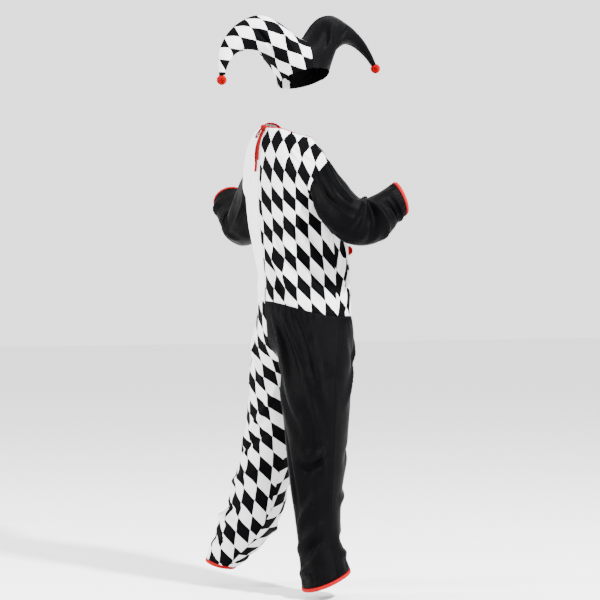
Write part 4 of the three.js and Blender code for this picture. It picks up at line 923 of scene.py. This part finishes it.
# Every piece hangs from the root, and the part it stands for in model.glb is hidden
def declare(obj, node_name):
    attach(obj, "root")
    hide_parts(node_name)


# The faces of a tube, from one closed ring of points to the next
def quads_between(rings, sides):
    faces = []
    for i in range(rings):
        for k in range(sides):
            a, b = i * sides + k, i * sides + (k + 1) % sides
            faces.append((a, b, b + sides, a + sides))
    return faces


# The area of quads, from the two diagonals of each
def area_between(first, second):
    return np.linalg.norm(np.cross(first, second), axis=-1).sum() / 2


def shell(panel):
    outer = panel.p + panel.n * (panel.lift + groove(panel))[..., None]
    panel.outer = outer
    inner = outer - panel.n * WALL
    h, w = panel.p.shape[:2]
    count = h * w
    q = panel.quads()
    faces = [q, q[:, ::-1] + count]
    ids = np.arange(count).reshape(h, w)
    nxt = np.roll(ids, -1, axis=1) if panel.closed else ids[:, 1:]
    cur = ids if panel.closed else ids[:, :-1]

    def rim(a, b):
        strip = np.stack([a, b, b + count, a + count], axis=-1)
        faces.append(strip[:, ::-1] if panel.flip else strip)

    rim(nxt[0], cur[0])
    rim(cur[-1], nxt[-1])
    if not panel.closed:
        rim(ids[:-1, 0], ids[1:, 0])
        rim(ids[1:, -1], ids[:-1, -1])
    u, v = length_along(panel.p, 1), length_along(panel.p)
    uvs = {"cloth": np.stack([u, v], axis=-1).reshape(-1, 2) / 10}
    kind = panel.name.split("_")[0]
    material = CLOTH[kind]["left" in panel.name]
    if material == "check_cloth":
        uvs["check"] = np.stack(check_map(panel), axis=-1).reshape(-1, 2)
    uvs = {k: np.concatenate([a, a]) for k, a in uvs.items()}
    points = np.concatenate([outer.reshape(-1, 3), inner.reshape(-1, 3)])
    obj = make_mesh(panel.name + "_cloth", points, np.concatenate(faces), material, uvs)
    cloth = panel.p
    area = area_between(cloth[1:, 1:] - cloth[:-1, :-1], cloth[1:, :-1] - cloth[:-1, 1:])
    width = u.max()
    if panel.closed:
        width = np.linalg.norm(cloth - np.roll(cloth, -1, axis=1), axis=2).sum(axis=1).max()
        area += area_between(cloth[1:, 0] - cloth[:-1, -1], cloth[1:, -1] - cloth[:-1, 0])
    flat = (round(width * SEAM_ALLOWANCE / 1000, 3), round(v.max() * SEAM_ALLOWANCE / 1000, 3))
    area = round(min(area * AREA_ALLOWANCE / 1e6, flat[0] * flat[1]), 4)
    declare(obj, panel.name)


# Camera
camera = bpy.data.objects.new("camera", bpy.data.cameras.new("camera"))
bpy.context.scene.collection.objects.link(camera)
azimuth = math.radians(CAMERA["azimuth"])
away = CAMERA["distance"] * np.array([math.sin(azimuth), -math.cos(azimuth), 0])
camera.location = Vector(metres(away + [0, 0, CAMERA["height"]]))
camera.rotation_euler = (math.pi / 2, 0, azimuth)
camera.data.sensor_width = CAMERA["sensor"]
camera.data.lens = CAMERA["lens"]
camera.data.clip_end = CAMERA["clip_end"]
bpy.context.scene.camera = camera

suit = [p for p in PANELS.values() if not p.name.startswith("hat")]
hats = [p for p in PANELS.values() if p.name.startswith("hat")]
shared_normals(suit)
shared_normals(hats)
for panel in PANELS.values():
    panel.lift = lift(panel)


# The tie at the back of the neck: a flat band with rounded edges, its width lying along across
def ribbon_strip(name, centre, across, wide, thick):
    n = len(centre)
    tangent = unit(np.gradient(centre, axis=0))
    across = square_to(across, tangent)
    out = np.cross(tangent, across)
    profile = [(-0.5, 0), (-0.44, 0.5), (-0.2, 0.38), (0, 0.34), (0.2, 0.38), (0.44, 0.5),
               (0.5, 0), (0.44, -0.5), (0.2, -0.38), (0, -0.34), (-0.2, -0.38), (-0.44, -0.5)]
    points, uvs, m = [], [], len(profile)
    length = length_along(centre)
    for i in range(n):
        for a, b in profile:
            points.append(centre[i] + across[i] * a * wide + out[i] * b * thick)
            uvs.append((length[i] / 10, a * wide / 10))
    faces = quads_between(n - 1, m)
    faces.append(tuple(range(m))[::-1])
    faces.append(tuple((n - 1) * m + k for k in range(m)))
    return make_mesh(name, points, faces, "red_ribbon", {"cloth": uvs})


def tail(kind):
    stations = TAILS[kind]
    route = []
    for s in stations:
        back = read(TORSO_GIRTH, "z", min(s["z"], NECK_BACK_Z))["back"]
        route.append(on_body(s["x"], back + s["clear"], s["z"]))
    route = refiner(len(route), 6) @ np.array(route)
    turn = np.linspace(TAIL_TURN["start"], TAIL_TURN[kind], len(route))
    across = np.stack([np.cos(turn), np.sin(turn), np.zeros(len(route))], axis=1)
    obj = ribbon_strip(f"tie_tail_{kind}_ribbon", route, across, RIBBON["width"], RIBBON["thick"])
    declare(obj, f"tie_tail_{kind}")


for kind in TAILS:
    tail(kind)

back_right = PANELS["torso_back_right"]
nape = back_right.p[CENTRE_ROWS * K, 0]
behind = back_right.n[CENTRE_ROWS * K, 0]
knot_place = nape + behind * (KNOT["depth"] / 2 + KNOT["clear"]) + np.array([0, 0, KNOT["up"]])


def knot():
    points, uvs = [], []
    n, m = KNOT["rings"], KNOT["sides"]
    for i in range(n + 1):
        phi = math.pi * i / n
        for k in range(m):
            a = 2 * math.pi * k / m
            band = 1 + 0.07 * math.cos(5 * phi + 0.8 * math.sin(a)) - 0.08 * math.exp(-((i - n / 2) / 2.2)**2)
            x = math.cos(phi) * KNOT["width"] / 2
            s = math.sin(phi)**0.75 * band
            points.append(knot_place + np.array([x, math.cos(a) * s * KNOT["depth"] / 2,
                                                 math.sin(a) * s * KNOT["height"] / 2]))
            uvs.append((i / 3, k / 6))
    obj = make_mesh("tie_knot_ribbon", points, quads_between(n, m), "red_ribbon", {"cloth": uvs})
    declare(obj, "tie_knot")


def bow_loop():
    way = unit(np.array(LOOP["way"]))
    out = square_to(behind, way)
    across = np.cross(out, way)
    start = knot_place + way * LOOP["along"] + behind * LOOP["behind"] + out * LOOP["out"]
    t = np.linspace(0.015, 0.985, LOOP["points"]) * 2 * math.pi
    far = LOOP["half_length"] * (1 - np.cos(t))
    wide = LOOP["half_width"] * np.sin(t) * np.sin(t / 2)**0.8
    centre = start + way * far[:, None] + across * wide[:, None]
    obj = ribbon_strip("tie_loop_ribbon", centre, np.tile(out, (len(t), 1)), LOOP["width"], LOOP["thick"])
    declare(obj, "tie_loop")


knot()
bow_loop()
for panel in PANELS.values():
    shell(panel)


# Bindings: a rolled band along each open edge, with a row of stitches
def binding(name, edge, inside, normals, wide, node_name):
    edge, inside, normals = (np.asarray(x) for x in (edge, inside, normals))
    n = len(edge)
    line = unit(np.roll(edge, -1, axis=0) - np.roll(edge, 1, axis=0))
    normal = square_to(normals, line)
    out = square_to(edge - inside, line, normal)
    for _ in range(3):
        out = (np.roll(out, 1, axis=0) + out + np.roll(out, -1, axis=0)) / 3
    profile = [(-0.6, -0.2), (-0.2, 0.75), (0.22 * wide, 0.95), (0.5 * wide, 1.15), (0.8 * wide, 0.95),
               (0.95 * wide, 0.2), (wide, -0.9), (0.95 * wide, -1.9), (0.8 * wide, -2.5), (0.5 * wide, -2.75),
               (0.2 * wide, -2.6), (-0.6, -2.3)]
    m = len(profile)
    length = length_along(edge)
    points, uvs, faces = [], [], []
    for i in range(n):
        wave = 0.25 * math.sin(length[i] / 4.1) + 0.2 * math.sin(length[i] / 2.3 + 1)
        for k, (a, b) in enumerate(profile):
            points.append(edge[i] + out[i] * a + normal[i] * (b + wave))
            uvs.append((length[i] / 10, k * 0.2))
    for i in range(n):
        j = (i + 1) % n
        for k in range(m):
            faces.append((i * m + k, i * m + (k + 1) % m, j * m + (k + 1) % m, j * m + k))
    obj = make_mesh(name, points, faces, "red_binding", {"cloth": uvs})
    declare(obj, node_name)
    fix_outward(obj)
    stitches(name, edge, line, out, normal, length)


def stitches(name, edge, line, out, normal, length):
    points, faces, uvs = [], [], []
    sides = STITCH["sides"]
    for s in range(int(length[-1] / STITCH["pitch"])):
        i = min(len(edge) - 2, int(np.searchsorted(length, s * STITCH["pitch"])))
        centre = edge[i] + out[i] * STITCH["inset"] + normal[i] * STITCH["proud"]
        base = len(points)
        for x in (-0.5, -0.25, 0, 0.25, 0.5):
            radius = STITCH["radius"] * math.sqrt(max(0.05, 1 - (2 * x)**2))
            for k in range(sides):
                a = 2 * math.pi * k / sides
                round_it = out[i] * math.cos(a) * radius + normal[i] * math.sin(a) * radius
                points.append(centre + line[i] * x * STITCH["length"] + round_it)
                uvs.append((x, k * 0.1))
        faces += [tuple(base + v for v in quad) for quad in quads_between(4, sides)]
        faces.append(tuple(base + k for k in range(sides))[::-1])
        faces.append(tuple(base + 4 * sides + k for k in range(sides)))
    obj = make_mesh(name + "_stitches", points, faces, "thread", {"cloth": uvs})
    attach(obj, "root")
    fix_outward(obj)


def edge_of(parts):
    edge, inside, normals = [], [], []
    for name, at, back in parts:
        panel = PANELS[name]
        edge.append(panel.outer[at])
        inside.append(panel.outer[back])
        normals.append(panel.n[at])
    return tuple(np.concatenate(x) for x in (edge, inside, normals))


C, T = CENTRE_ROWS * K, TORSO_ROWS * K
neck = edge_of([
    ("torso_back_right", np.s_[C:T, 0], np.s_[C:T, 2]),
    ("torso_front_right", np.s_[T:C:-1, 0], np.s_[T:C:-1, 2]),
    ("torso_front_left", np.s_[C:T, 0], np.s_[C:T, 2]),
    ("torso_back_left", np.s_[T:C:-1, 0], np.s_[T:C:-1, 2])])
binding("neck_binding_band", *neck, BINDING_WIDTH["neck"], "neck_binding")
for side in SIDES:
    cuff = edge_of([(f"sleeve_{side}", np.s_[-1, :], np.s_[-3, :])])
    binding(f"cuff_band_{side}", *cuff, BINDING_WIDTH["cuff"], f"cuff_binding_{side}")
    hem = edge_of([
        (f"leg_{side}_back", np.s_[-1, :], np.s_[-3, :]),
        (f"leg_{side}_front", np.s_[-1, -2:0:-1], np.s_[-3, -2:0:-1])])
    binding(f"hem_band_{side}", *hem, BINDING_WIDTH["hem"], f"hem_binding_{side}")


# Pompoms: a core under many short strands of yarn
def pompom(name, node_name):
    low, high = (np.array(v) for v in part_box(node_name))
    centre = (low + high) / 2 * 1000 + ORIGIN
    points, uvs = [], []
    n, m = POMPOM["rings"], POMPOM["sides"]
    for i in range(n + 1):
        phi = math.pi * i / n
        for k in range(m):
            a = 2 * math.pi * k / m
            d = np.array([math.sin(phi) * math.cos(a), math.sin(phi) * math.sin(a), math.cos(phi)])
            points.append(centre + d * POMPOM["core"] * (1 + 0.05 * math.sin(5 * a) * math.sin(3 * phi)))
            uvs.append((a, phi))
    faces = [(a, d, c, b) for a, b, c, d in quads_between(n, m)]
    golden = math.pi * (3 - math.sqrt(5))
    for s in range(POMPOM["strands"]):
        z = 1 - 2 * (s + 0.5) / POMPOM["strands"]
        a = golden * s
        d = np.array([math.sqrt(1 - z * z) * math.cos(a), math.sqrt(1 - z * z) * math.sin(a), z])
        side = np.cross(d, [RANDOM.uniform(-1, 1) for _ in range(3)])
        side /= np.linalg.norm(side) + 1e-9
        other = np.cross(d, side)
        reach = POMPOM["reach"] * RANDOM.uniform(*POMPOM["uneven"])
        bend = RANDOM.uniform(*POMPOM["bend"])
        base, root = len(points), POMPOM["core"] * STRAND_ROOT
        for ring in STRAND:
            t = ring["far"]
            middle = centre + d * (root + (reach - root) * t) + side * bend * t * t
            for k in range(3):
                b = 2 * math.pi * k / 3
                points.append(middle + (side * math.cos(b) + other * math.sin(b)) * ring["radius"])
                uvs.append((t, k * 0.1))
        faces += [tuple(base + v for v in quad) for quad in quads_between(3, 3)]
        faces.append((base + 9, base + 10, base + 11))
        faces.append((base + 2, base + 1, base))
    obj = make_mesh(name, points, faces, "red_yarn", {"cloth": uvs})
    declare(obj, node_name)
    fix_outward(obj)


pompom("front_pompom_yarn", "front_pompom")
for side in SIDES:
    pompom(f"hat_pompom_yarn_{side}", f"hat_pompom_{side}")

# Floor and light
floor_z = metres([0, 0, 0])[2]
bpy.ops.mesh.primitive_plane_add(size=FLOOR_SIZE, location=(0, 0, floor_z))
floor = bpy.context.object
floor.name = "floor"
paper, _, shader = new_material("floor_paper")
shader.inputs["Base Color"].default_value = (0.86, 0.86, 0.86, 1)
shader.inputs["Roughness"].default_value = 0.9
floor.data.materials.append(paper)

world = bpy.data.worlds.new("studio")
bpy.context.scene.world = world
world.use_nodes = True
background = world.node_tree.nodes["Background"]
background.inputs["Color"].default_value = (1, 1, 1, 1)
background.inputs["Strength"].default_value = SKY_STRENGTH


def area_light(name, place, target, size, power):
    data = bpy.data.lights.new(name, "AREA")
    data.shape = "DISK"
    data.size = size
    data.energy = power
    obj = bpy.data.objects.new(name, data)
    obj.location = place
    obj.rotation_euler = (Vector(target) - Vector(place)).to_track_quat("-Z", "Y").to_euler()
    bpy.context.scene.collection.objects.link(obj)


for name, light in LIGHTS.items():
    area_light(name, **light)
